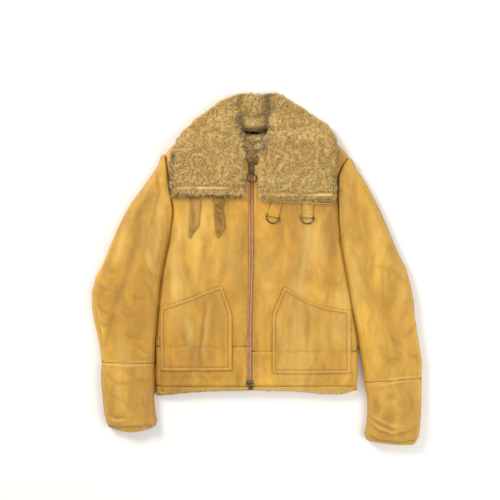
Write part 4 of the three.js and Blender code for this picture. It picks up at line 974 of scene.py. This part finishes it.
# each strip: its path, how far it lies below its neighbours, and the pieces on either side
allowances = {
    "left_armhole_strip": ([(-214, 274), (-216.5, 268), (-212, 236), (-208, 201), (-202, 168), (-198.5, 137),
                            (-202, 102), (-207, 67), (-215, 29), (-223, -12), (-228, -59), (-234, -109),
                            (-237, -170), (-238, -238), (-237.5, -294)], 3.4,
                           ["front_left", "sleeve_left_top", "waistband_left", "cuff_left_top",
                            "hem_binding_left", "back_panel", "sleeve_left_under"]),
    "right_armhole_strip": ([(217, 262), (200, 240), (192, 215), (190.5, 180), (192.5, 137), (194, 102),
                             (197, 67), (203, 29), (210, -12), (219, -59), (227, -109), (233, -150),
                             (237, -175), (240, -190), (241, -200)], 3.4,
                            ["front_right", "sleeve_right_top", "waistband_right", "cuff_right_top"]),
    "left_waist_strip": ([(-235, -184), (-24, -184)], 0.7, ["front_left", "waistband_left"]),
    "right_waist_strip": ([(-8, -195), (235, -195)], 0.7, ["front_right", "waistband_right"]),
    "left_hem_strip": ([(-233, -278), (-27, -278)], 0.6, ["waistband_left", "hem_binding_left"]),
    "right_hem_strip": ([(-7, -278), (233, -278)], 0.6, ["waistband_right", "hem_binding_right"]),
    "left_cuff_strip": (leftCuffSeam, 1.0, ["sleeve_left_top", "cuff_left_top"]),
    "right_cuff_strip": (rightCuffSeam, 1.0, ["sleeve_right_top", "cuff_right_top"]),
}


def sweptTube(rows, radius, sides):
    # closed tube through rows of points, each with its way along the ground
    points = []
    faces = []
    for (x, y, z), (runX, runY) in rows:
        for k in range(sides):
            turn = 2 * math.pi * k / sides
            out = math.cos(turn) * radius
            points.append((x - runY * out, y + runX * out, z + math.sin(turn) * radius))
    for a in range(len(rows) - 1):
        for k in range(sides):
            b, c = a * sides + k, a * sides + (k + 1) % sides
            faces.append((b, b + sides, c + sides, c))
    faces.append(tuple(range(sides)))
    faces.append(tuple(reversed(range(len(points) - sides, len(points)))))
    return points, faces


def stripAlong(name, rows, radius, creaseShade, worn):
    points, faces = sweptTube(rows, radius, seamFoot["sides"])
    strip = joinedMesh(name, np.array(points) / perMetre, faces, leather)
    marked(strip, "creaseShade", np.full(len(points), creaseShade))
    marked(strip, "worn", np.full(len(points), worn))
    print(name, len(faces), "faces")


for name, (path, below, neighbours) in allowances.items():
    places, runs = stitchPlaces(path, seamFoot["pitch"])
    rows = []
    for (x, y), (runX, runY) in zip(places, runs):
        heights = []
        for side in (-1, 1):
            off = side * seamFoot["beside"]
            ground = groundAt(x - runY * off, y + runX * off, neighbours)
            if ground is not None:
                heights.append(ground[0].z * perMetre)
        if len(heights) == 2:
            rows.append(((x, y, min(heights) - below - seamFoot["radius"]), (runX, runY)))
    stripAlong(name, rows, seamFoot["radius"], seamFoot["armholeShade" if "armhole" in name else "dark"], 0)

# the turned leather edge that shows under the collar's right leaf
leafEdge = {"path": [(6, 160.5), (60, 157.5), (120, 154.5), (174, 152)], "radius": 1.7, "above": 3.4,
            "pitch": 6.0, "pale": 0.9}
places, runs = stitchPlaces(leafEdge["path"], leafEdge["pitch"])
rows = []
for (x, y), (runX, runY) in zip(places, runs):
    ground = groundAt(x, y, ["front_right", "tab_right_a", "tab_right_b"])
    rows.append(((x, y, ground[0].z * perMetre + leafEdge["above"]), (runX, runY)))
stripAlong("right_leaf_edge", rows, leafEdge["radius"], 0, leafEdge["pale"])

# shearling: a skin under curled locks, each a small tapered curl; lengths in millimetres
# noises and spans as for leather; a mark lays its colour over the ones before it
fleece = {
    "patch": (16, 3, 0.6, 0.8), "patchSpan": (0, 1, 0.30, 0.70), "bodySpan": (0, 1, 0.05, 0.66),
    "tipSpan": (0, 0.75, 0.55, 1.0), "lightSpan": (0, 0.65, 0.55, 1.0), "darkSpan": (0.40, 0, 0.0, 0.45),
    "fibre": (1300, 4, 0.7), "fibreDeep": 0.0005, "fibreStrength": 0.7, "rough": (0.72, 0.92),
    "specular": 0.25, "sheen": 0.12, "sheenRough": 0.4, "sheenTint": (1.0, 0.86, 0.6, 1),
}


def woolFinish(name, look):
    finish, tree, shader = newFinish(name)
    tip, tint, dark = (markOf(tree, mark) for mark in ("tip", "tint", "shade"))
    patch = spanOf(tree, noiseAt(tree, objectPlace(tree), *fleece["patch"]), *fleece["patchSpan"])
    body = mixOf(tree, patch, look["tan"], look["gold"])
    colour = mixOf(tree, spanOf(tree, tip, *fleece["bodySpan"]), look["root"], body)
    for value, span, over in ((tip, "tipSpan", "tip"), (tint, "lightSpan", "tip"),
                              (tint, "darkSpan", "root")):
        colour = mixOf(tree, spanOf(tree, value, *fleece[span]), colour, look[over])
    # the shade mark mixes in deep: painted shade at the neck and under the leaves, and the fringes' darker
    # hairs
    feed(shader, "Base Color", mixOf(tree, dark, colour, look["deep"]))
    fibres = noiseAt(tree, objectPlace(tree), *fleece["fibre"])
    feed(shader, "Normal", bumpOf(tree, fibres, fleece["fibreDeep"], strength=fleece["fibreStrength"]))
    feed(shader, "Roughness", spanOf(tree, fibres, *fleece["rough"]))
    shader.inputs["Specular IOR Level"].default_value = fleece["specular"]
    shader.inputs["Sheen Weight"].default_value = fleece["sheen"]
    shader.inputs["Sheen Roughness"].default_value = fleece["sheenRough"]
    shader.inputs["Sheen Tint"].default_value = fleece["sheenTint"]
    return finish


woolLooks = {
    "collar": {"root": (0.54, 0.315, 0.080), "tan": (0.84, 0.55, 0.170), "gold": (1.0, 0.72, 0.250),
               "tip": (1.0, 0.91, 0.56), "deep": (0.125, 0.092, 0.056)},
    # inner is a brighter copy of the collar wool: painted light for the shaded inside of the neck
    "inner": {"root": (0.86, 0.60, 0.22), "tan": (1.0, 0.76, 0.34), "gold": (1.0, 0.78, 0.34),
              "tip": (1.0, 0.90, 0.56), "deep": (0.34, 0.26, 0.16)},
    "edge": {"root": (0.16, 0.10, 0.050), "tan": (0.36, 0.25, 0.13), "gold": (0.44, 0.31, 0.16),
             "tip": (0.60, 0.47, 0.30), "deep": (0.10, 0.065, 0.035)},
}
wool = woolFinish("collar_wool", woolLooks["collar"])
edgeWool = woolFinish("edge_wool", woolLooks["edge"])
litInnerWool = woolFinish("lit_inner_wool", woolLooks["inner"])

locks = {"stations": 2, "sides": 3, "tuft": 9.0, "stand": 4.4, "lean": 7.4, "curl": 0.9, "thick": 1.0,
         "floor": 0.3, "combed": 46.0, "swirl": 2.6, "stray": 0.32, "free": 0.6, "gathered": 0.42,
         "gatherPower": 1.3,
         "bald": 0.35, "tuftTint": 0.45, "middle": 0.75, "standEdge": 0.62, "standMiddle": 0.55,
         "bow": 0.62, "rooted": 0.6, "leanPower": 1.4, "curlPower": 0.8, "curlUp": 0.3,
         "lengths": (0.75, 1.25), "turns": (0.5, 1.0), "girths": (0.75, 1.2), "taper": 0.55}


def unit(rows):
    return rows / np.maximum(np.linalg.norm(rows, axis=1), 1e-9)[:, None]


def scattered(places, facing, reach, draw):
    # moves each root a little within its skin
    moved = draw.normal(0, reach / perMetre, places.shape)
    return places + moved - facing * (moved * facing).sum(1)[:, None]


def curledLocks(name, roots, facing, seed, finish, size=1.0, shade=None, lie=None):
    # roots and facing are rows of places in metres and directions; lie combs the locks one way
    draw = np.random.default_rng(seed)
    count = len(roots)
    roots = roots * perMetre
    facing = unit(facing)
    swirl = np.empty(count)
    for k, (x, y, z) in enumerate(roots):
        spot = Vector((x / locks["combed"], y / locks["combed"], seed))
        swirl[k] = locks["swirl"] * math.pi * noise.noise(spot)
    swirl += draw.normal(0, locks["stray"], count)
    flat = np.stack([np.cos(swirl), np.sin(swirl), np.zeros(count)], 1)
    if lie is not None:
        flat = unit(flat * locks["free"] + lie)
    along = unit(flat - facing * (flat * facing).sum(1)[:, None])
    side = np.cross(facing, along)

    # tips lean to the middle of the tuft that they belong to
    cells = np.floor(roots[:, :2] / locks["tuft"]).astype(int)
    spots = set()
    for cell in map(tuple, cells):
        spots.update((cell[0] + stepX, cell[1] + stepY) for stepX in (-1, 0, 1) for stepY in (-1, 0, 1))
    spots = np.array(sorted(spots))
    spots = spots[draw.uniform(0, 1, len(spots)) > locks["bald"]]
    centres = (spots + draw.uniform(0, 1, spots.shape)) * locks["tuft"]
    middles = KDTree(len(centres))
    for k, (x, y) in enumerate(centres):
        middles.insert(Vector((x, y, 0)), k)
    middles.balance()
    pull = np.zeros((count, 3))
    far = np.zeros(count)
    tuftTint = draw.uniform(0, 1, len(centres))
    tint = np.zeros(count)
    for k, (x, y, z) in enumerate(roots):
        spot, index, away = middles.find(Vector((x, y, 0)))
        pull[k, :2] = (spot.x - x, spot.y - y)
        far[k] = away
        tint[k] = tuftTint[index]
    tint = locks["tuftTint"] * tint + (1 - locks["tuftTint"]) * draw.uniform(0, 1, count)
    pull -= facing * (pull * facing).sum(1)[:, None]
    centred = np.clip(1 - far / (locks["tuft"] * locks["middle"]), 0, 1)

    length = size * draw.uniform(*locks["lengths"], count)
    stand = locks["stand"] * length * (locks["standEdge"] + locks["standMiddle"] * centred)
    lean = locks["lean"] * length
    phase = draw.uniform(0, 2 * math.pi, count)
    turns = draw.uniform(*locks["turns"], count) * 2 * math.pi
    stations = locks["stations"]
    share = np.arange(stations + 1) / stations
    path = np.empty((count, stations + 1, 3))
    for k, s in enumerate(share):
        rise = stand * math.sin(locks["bow"] * math.pi * s) - locks["rooted"] * (1 - s)
        forward = lean * s ** locks["leanPower"]
        wind = locks["curl"] * size * s ** locks["curlPower"]
        path[:, k] = (
            roots
            + facing * (rise + wind * locks["curlUp"] * np.sin(phase + turns * s))[:, None]
            + along * (forward + wind * np.cos(phase + turns * s) - wind * np.cos(phase))[:, None]
            + side * (wind * np.sin(phase + turns * s) - wind * np.sin(phase))[:, None]
            + pull * (locks["gathered"] * s ** locks["gatherPower"])
        )
    run = np.gradient(path, axis=1)
    run /= np.maximum(np.linalg.norm(run, axis=2), 1e-9)[:, :, None]
    across = np.cross(run, side[:, None, :] + 0.13 * along[:, None, :])
    across /= np.maximum(np.linalg.norm(across, axis=2), 1e-9)[:, :, None]
    other = np.cross(run, across)
    thick = locks["thick"] * size * draw.uniform(*locks["girths"], count)
    sides = locks["sides"]
    rings = stations * sides + 1
    points = np.empty((count, rings, 3))
    for k in range(stations):
        girth = thick * (1 - share[k]) ** locks["taper"]
        for j in range(sides):
            turn = 2 * math.pi * j / sides
            points[:, k * sides + j] = path[:, k] + girth[:, None] * (
                across[:, k] * math.cos(turn) + other[:, k] * math.sin(turn)
            )
    points[:, -1] = path[:, -1]
    points[:, :, 2] = np.maximum(points[:, :, 2], locks["floor"])
    one = []
    for k in range(stations - 1):
        for j in range(sides):
            a = k * sides + j
            b = k * sides + (j + 1) % sides
            one += [(a, b, b + sides), (a, b + sides, a + sides)]
    last = (stations - 1) * sides
    one += [(last + j, last + (j + 1) % sides, rings - 1) for j in range(sides)]
    one += [(2, 1, 0)]
    one = np.array(one)
    faces = (one[None] + (np.arange(count) * rings)[:, None, None]).reshape(-1, 3)
    piece = joinedMesh(name, points.reshape(-1, 3) / perMetre, faces, finish)
    marks = {
        "tip": np.tile(np.append(np.repeat(share[:-1], sides), 1.0), count),
        "tint": np.repeat(tint, rings),
        "shade": np.repeat(np.zeros(count) if shade is None else shade, rings),
    }
    for mark, values in marks.items():
        marked(piece, mark, values)
    print(name, count, "locks,", len(faces), "faces")
    return piece


# collar skin under the wool, with its sewn channel and the rolled band below
collarSizes = {"grid": 0.0038, "smoothing": 5, "wall": 0.004, "lump": 1.1, "lumpScale": 60.0,
               "lowest": 0.0045, "channelHalf": 2.3, "channelDeep": 2.8, "inset": 1.2, "edgeInset": 4.5,
               "neckInset": 1.6,
               "neck": (-46, 36, 345), "tipLeast": 0.15, "tint": 0.5, "shade": 0.25}
channels = [
    [(-199, 191), (-130, 189.5), (-70, 189), (-30, 189)],
    [(8, 176), (60, 174), (120, 172), (184, 174)],
]
collar = finer("collar", "collar_skin", collarSizes["grid"], collarSizes["smoothing"])
deleteFaces(collar, faceNormals(collar)[:, 2] < undersides["dropped"])
collarPoints = pointsOf(collar)
collarFacing = normalsOf(collar)
channelAway = np.minimum(*[alongPath(collarPoints[:, :2] * perMetre, path)[0] for path in channels])
inChannel = bell(channelAway, collarSizes["channelHalf"])
lumps = np.array([noise.noise(Vector(p) * collarSizes["lumpScale"]) for p in collarPoints])
collarX, collarY = (collarPoints[:, :2] * perMetre).T
neckFrom, neckTo, neckBelow = collarSizes["neck"]
atNeck = (collarX > neckFrom) & (collarX < neckTo) & (collarY < neckBelow)
inset = collarSizes["inset"] + collarSizes["edgeInset"] * (1 - np.clip(collarFacing[:, 2], 0, 1))
inset = np.where(atNeck, collarSizes["neckInset"], inset) + collarSizes["channelDeep"] * inChannel
moved = collarPoints + collarFacing * ((lumps * collarSizes["lump"] - inset) / perMetre)[:, None]
moved[:, 2] = np.maximum(moved[:, 2], collarSizes["lowest"])
placePoints(collar, moved)
spots = rowsFrom(collar.data.polygons, "center")
spotFacing = faceNormals(collar)
spotPlaces = spots[:, :2] * perMetre
marked(collar, "tip", collarSizes["tipLeast"] + (1 - collarSizes["tipLeast"]) * inChannel)
marked(collar, "tint", np.full(len(collarPoints), collarSizes["tint"]))
marked(collar, "shade", np.full(len(collarPoints), collarSizes["shade"]))
applyModifier(collar, "SOLIDIFY", "skin", thickness=collarSizes["wall"], offset=-1)
smoothShade(collar)
collar.data.materials.append(wool)
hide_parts("collar")
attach(collar, "jacket")

# painted shade in the creases between the leaves and the back of the neck and under the leaves' lower
# edges, and greyer wool at the outer edges: path, half width and darkness
neckShades = [
    ([(-40, 404), (-44, 384), (-36, 360)], 11, 0.35),
    ([(-42, 352), (-38, 334), (-35, 318)], 10, 0.70),
    ([(30, 414), (22, 396), (27, 372)], 14, 0.62),
    ([(28, 360), (22, 342), (19, 322)], 9, 0.75),
    ([(-34, 360), (-8, 358), (20, 362)], 6, 0.55),
    ([(-34, 326), (-8, 324), (14, 327)], 6, 0.70),
    ([(-204, 172), (-204, 230), (-203, 275), (-180, 318)], 7, 0.45),
    ([(188, 172), (182, 222), (190, 262), (186, 300)], 7, 0.40),
    ([(-200, 166), (-120, 166), (-34, 165)], 5, 0.55),
    ([(10, 160), (90, 158), (180, 157)], 5, 0.50),
    ([(-22, 176), (-24, 240), (-30, 290), (-34, 316)], 5, 0.35),
    ([(2, 168), (2, 240), (24, 294), (30, 318)], 5, 0.35),
]
shade = np.zeros(len(spots))
for path, half, deep in neckShades:
    shade = np.maximum(shade, deep * bell(alongPath(spotPlaces, path)[0], half))
# where the wool parts over the sewn channels, where it is combed up from the tape, and where the neck's wool
# begins and ends
combing = {"bare": 1.6, "bareMore": 1.3, "bareEvery": 43, "half": 8.0, "reach": 30, "strength": 2.5,
           "tape": (-8, 24, 336), "up": 3.0, "neck": (-0.038, 0.027), "perSpot": 3, "scatter": 1.3}
# the pull's ring swings through here: its middle, and how far off locks and longer hair keep
ringsWay = {"x": -12.5, "y": 245, "locks": (21, 19), "hair": (27, 23)}


def inRingsWay(x, y, keeping):
    across, along = ringsWay[keeping]
    return (abs(x - ringsWay["x"]) <= across) & (abs(y - ringsWay["y"]) <= along)


channelFar = np.minimum(*[alongPath(spotPlaces, path)[0] for path in channels])
draw = np.random.default_rng(77)
bare = combing["bare"] + combing["bareMore"] * np.sin(spots[:, 0] * combing["bareEvery"] + 0.8)
growing = (channelFar > bare) & ~inRingsWay(*spotPlaces.T, "locks")
parted = np.zeros(spots.shape)
for path in channels:
    away = alongPath(spotPlaces, path)[0]
    level = np.interp(spotPlaces[:, 0], *np.array(path, float).T)
    strength = bell(away, combing["half"]) * combing["strength"]
    parted[:, 1] += np.where(away < combing["reach"], np.sign(spotPlaces[:, 1] - level) * strength, 0)
tapeMiddle, tapeHalf, tapeBelow = combing["tape"]
aboveTape = (np.abs(spotPlaces[:, 0] - tapeMiddle) < tapeHalf) & (spotPlaces[:, 1] < tapeBelow)
parted[:, 1] += np.where(aboveTape, combing["up"], 0)
leftOfNeck = spots[:, 0] < combing["neck"][0]
rightOfNeck = spots[:, 0] > combing["neck"][1]
regions = {"left_leaf_wool": leftOfNeck, "right_leaf_wool": rightOfNeck,
           "neck_wool": ~(leftOfNeck | rightOfNeck)}
for k, (name, region) in enumerate(regions.items()):
    pick = np.repeat(np.flatnonzero(region & growing), combing["perSpot"])
    roots = scattered(spots[pick], spotFacing[pick], combing["scatter"], draw)
    curledLocks(name, roots, spotFacing[pick], 90 + k, wool, shade=shade[pick],
                                  lie=parted[pick])
# longer, greyer hair along the open edges of both leaves: path, way, how many hairs and how dark
fringes = {
    "left_leaf_fringe": [
        ([(-198, 176), (-199.5, 205), (-198, 250), (-193, 276)], (-1, 0), 420, 1.5),
        # the lower edge's hairs are the darkest: dark tufts, and partly a painted shadow under the leaf
        ([(-199, 174), (-150, 173), (-90, 172), (-38, 171)], (0, -1), 480, 1.9),
        ([(-33, 166), (-30, 210), (-31, 262), (-40, 308)], (1, 0), 200, 0.8),
    ],
    "right_leaf_fringe": [
        ([(182, 172), (184.5, 200), (186, 240), (184, 274)], (1, 0), 420, 1.5),
        ([(10, 165), (70, 163), (130, 161), (180, 163)], (0, -1), 90, 0.5),
        ([(5, 190), (3, 215), (9, 262), (25, 306)], (-1, 0), 300, 1.3),
    ],
}
hair = {"low": 1.0, "high": 2.5, "inside": 3.5, "size": 1.35, "upward": 0.25, "standing": 0.5,
        "darkest": 0.95, "combed": 1.4}
collarTree = treeOf(collar)
for k, (name, edges) in enumerate(fringes.items()):
    draw = np.random.default_rng(210 + k)
    roots = []
    ways = []
    dark = []
    for path, way, count, deep in edges:
        corners = np.array(path, float)
        total = np.concatenate([[0], np.cumsum(np.linalg.norm(np.diff(corners, axis=0), axis=1))])
        at = draw.uniform(0, total[-1], count)
        for x, y in zip(np.interp(at, total, corners[:, 0]), np.interp(at, total, corners[:, 1])):
            x, y = np.array((x, y)) - np.array(way) * hair["inside"] * draw.uniform(-0.2, 1.0)
            hit = hitBelow(collarTree, x, y)[0]
            if hit is not None and not inRingsWay(x, y, "hair"):
                root = np.array((x, y, hit.z * perMetre + draw.uniform(-hair["low"], hair["high"])))
                roots.append(root / perMetre)
                ways.append((*way, hair["upward"]))
                dark.append(deep * draw.uniform(0, 1))
    ways = np.array(ways)
    curledLocks(name, np.array(roots), ways + (0, 0, hair["standing"]), 220 + k, wool,
                                  size=hair["size"], shade=np.clip(dark, 0, hair["darkest"]),
                                  lie=ways * hair["combed"])

# wool that shows inside the neck, and along the hem and cuff mouths
backSkin = made["back_panel"]
backFaces = rowsFrom(backSkin.data.polygons, "center")
innerNeck = {"y": [236, 262, 290, 318], "left": [-24, -30, -42, -56], "right": [8, 14, 30, 48], "from": 250,
             "tape": (-29.5, 12.5), "underTape": 314.5, "waves": ((1.6, 2.1), (0.8, 0.9)), "besideTape": 332,
             "upward": 0.6, "perFace": 24,
             "scatter": 2.8, "combed": (0.0, -1.4, 0.0)}
backX, backY = (backFaces[:, :2] * perMetre).T
tapeLeft, tapeRight = innerNeck["tape"]
besideTape = ((backX < tapeLeft) | (backX > tapeRight)) & (backY < innerNeck["besideTape"])
ragged = sum(high * np.sin(backX / every) for high, every in innerNeck["waves"])
underTape = backY < innerNeck["underTape"] + ragged
inNeck = (faceNormals(backSkin)[:, 2] > innerNeck["upward"]) & (backY > innerNeck["from"])
inNeck &= (backX > np.interp(backY, innerNeck["y"], innerNeck["left"])) & (underTape | besideTape)
inNeck &= backX < np.interp(backY, innerNeck["y"], innerNeck["right"])
pick = np.repeat(np.flatnonzero(inNeck), innerNeck["perFace"])
neckFacing = faceNormals(backSkin)[pick]
roots = scattered(backFaces[pick], neckFacing, innerNeck["scatter"], np.random.default_rng(61))
curledLocks("inner_neck_wool", roots, neckFacing, 62, litInnerWool,
            lie=np.tile(innerNeck["combed"], (len(pick), 1)))

mouths = {
    "hem_wool": {"path": [(-232, -300), (-190, -296.5), (-148, -292.5), (-80, -289.5), (-10, -288.5),
                          (93, -290.5), (162, -297.5), (204, -297), (232, -287)],
                 "low": 5.0, "high": 17.0, "count": 900, "inset": 3.0, "size": 0.72},
    "left_cuff_wool": {"path": [(-350, -376), (-330, -383), (-296, -385), (-262, -380), (-242, -372)],
                       "low": 7.0, "high": 22.0, "count": 420, "inset": 6.0, "size": 0.55},
    "right_cuff_wool": {"path": [(260, -403), (290, -411), (320, -414), (352, -414), (372, -412)],
                        "low": 7.0, "high": 22.0, "count": 420, "inset": 6.0, "size": 0.55},
}
mouthFacing = {"sideways": 0.25, "out": -1.0, "up": 0.15, "upSpread": 0.3}
for k, (name, mouth) in enumerate(mouths.items()):
    draw = np.random.default_rng(140 + k)
    along = np.sort(draw.uniform(mouth["path"][0][0], mouth["path"][-1][0], mouth["count"]))
    back = np.interp(along, *np.array(mouth["path"], float).T)
    high = draw.uniform(mouth["low"], mouth["high"], mouth["count"])
    roots = np.stack([along, back + mouth["inset"], high], 1) / perMetre
    facing = np.stack([draw.normal(0, mouthFacing["sideways"], mouth["count"]),
                       np.full(mouth["count"], mouthFacing["out"]),
                       draw.normal(mouthFacing["up"], mouthFacing["upSpread"], mouth["count"])], 1)
    curledLocks(name, roots, facing, 150 + k, edgeWool, size=mouth["size"])

# zip: woven tapes, interlocked teeth, slider, pull ring and bottom stud
woven = {"worn": (45, 4, 0.6), "wornSpan": (0, 1, 0.35, 0.7), "ribs": 320, "waver": 0.4, "ribsDeep": 0.0003,
         "rough": (0.75, 0.95)}
metal = {"worn": (210, 5, 0.65), "wornSpan": (0, 1, 0.38, 0.68), "rougher": 0.16, "pits": (800, 3, 0.6),
         "pitsDeep": 0.0001}


def tapeFinish(name, deep, light):
    finish, tree, shader = newFinish(name)
    place = objectPlace(tree)
    worn = spanOf(tree, noiseAt(tree, place, *woven["worn"]), *woven["wornSpan"])
    ribs = addNode(tree, "ShaderNodeTexWave", wave_type="BANDS", bands_direction="Y")
    ribs.inputs["Scale"].default_value = woven["ribs"]
    ribs.inputs["Distortion"].default_value = woven["waver"]
    tree.links.new(place, ribs.inputs["Vector"])
    feed(shader, "Base Color", mixOf(tree, worn, deep, light))
    feed(shader, "Normal", bumpOf(tree, ribs.outputs["Fac"], woven["ribsDeep"]))
    feed(shader, "Roughness", spanOf(tree, worn, *woven["rough"]))
    return finish


def metalFinish(name, deep, light, rough, metallic=1.0):
    finish, tree, shader = newFinish(name)
    place = objectPlace(tree)
    worn = spanOf(tree, noiseAt(tree, place, *metal["worn"]), *metal["wornSpan"])
    feed(shader, "Base Color", mixOf(tree, worn, deep, light))
    feed(shader, "Roughness", spanOf(tree, worn, rough + metal["rougher"], rough))
    feed(shader, "Normal", bumpOf(tree, noiseAt(tree, place, *metal["pits"]), metal["pitsDeep"]))
    shader.inputs["Metallic"].default_value = metallic
    return finish


salmonTape = tapeFinish("salmon_tape", (0.62, 0.25, 0.085), (0.78, 0.38, 0.16))
blackTape = tapeFinish("black_tape", (0.010, 0.009, 0.008), (0.030, 0.026, 0.022))
toothMetal = metalFinish("tooth_metal", (0.66, 0.40, 0.27), (0.86, 0.62, 0.48), 0.42, 0.25)
darkMetal = metalFinish("antique_metal", (0.060, 0.048, 0.040), (0.27, 0.23, 0.20), 0.34)

zipSizes = {"pitch": 1.55, "tooth": (4.3, 1.15, 2.3), "worn": 0.32, "tail": 0.75, "offset": 0.75, "sunk": 1.1,
            "top": 219, "bottom": -262}
zipTape = {"seed": 11, "flat": (0.010, 0.49), "finish": salmonTape, "slot": "zip_tape"}
tapes = {
    "zip_tape_left": {**zipTape, "name": "left_zip_tape", "area": 0.0023},
    "zip_tape_right": {**zipTape, "name": "right_zip_tape", "area": 0.0015},
    "neck_tape": {"name": "neck_tape_plain", "seed": 15, "flat": (0.010, 0.037), "finish": blackTape,
                  "slot": "neck_tape"},
}
for nodeName, plan in tapes.items():
    leatherSkin(nodeName, {"under": True, "sheening": 0.0, **plan})
    print(plan["name"], "made")

bpy.ops.object.select_all(action="DESELECT")
bpy.ops.mesh.primitive_cube_add(size=1, location=(0, 0, 0))
tooth = bpy.context.active_object
tooth.name = "tooth_pattern"
tooth.scale = zipSizes["tooth"]
bpy.ops.object.transform_apply(location=False, rotation=False, scale=True)
applyModifier(tooth, "BEVEL", "worn", width=zipSizes["worn"], segments=1)
toothPoints = pointsOf(tooth)
toothPoints[:, 1] *= np.where(toothPoints[:, 0] > 0, 1.0, zipSizes["tail"])
toothFaces = [tuple(face.vertices) for face in tooth.data.polygons]
bpy.data.objects.remove(tooth)
zipPath = {"y": [-278, -184, -112, 20, 173, 243], "x": [-16, -16, -15, -11, -12, -12.5]}
teethTree = treeOf(nodes["zip_teeth"])
points = []
faces = []
side = 1
for y in np.arange(zipSizes["bottom"], zipSizes["top"], zipSizes["pitch"]):
    x = float(np.interp(y, zipPath["y"], zipPath["x"]))
    hit = hitBelow(teethTree, x, y)[0]
    if hit is None:
        continue
    middle = (x - side * zipSizes["offset"], y, hit.z * perMetre - zipSizes["sunk"])
    one = toothPoints * (side, side, 1) + middle
    faces += [tuple(i + len(points) for i in face) for face in toothFaces]
    points += [tuple(p) for p in one / perMetre]
    side = -side
teeth = joinedMesh("zip_teeth_rows", points, faces, toothMetal)
teeth.data.polygons.foreach_set("use_smooth", [False] * len(teeth.data.polygons))
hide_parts("zip_teeth")
print("zip teeth", len(faces), "faces")

# each metal piece: its name, grid, smoothing and body
metals = {
    "zip_slider": ("slider", 0.0006, 3, "jacket"),
    "zip_stud": ("bottom_stud", 0.0005, 3, "jacket"),
    "zip_pull": ("pull_ring", 0.0004, 2, "pull"),
    "ring_right_a": ("inner_ring", 0.0005, 2, "ring_a"),
    "ring_right_b": ("outer_ring", 0.0005, 2, "ring_b"),
}
for nodeName, (pieceName, grid, smoothing, body) in metals.items():
    piece = finer(nodeName, pieceName, grid, smoothing)
    smoothShade(piece)
    piece.data.materials.append(darkMetal)
    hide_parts(nodeName)
    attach(piece, body)
    print(pieceName, len(piece.data.polygons), "faces")

# the box round the dressed jacket's shown pieces, and their triangles
low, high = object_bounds()
total = sum(sum(len(p.vertices) - 2 for p in o.data.polygons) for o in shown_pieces() if o.type == "MESH")
print("all pieces", total, "triangles")
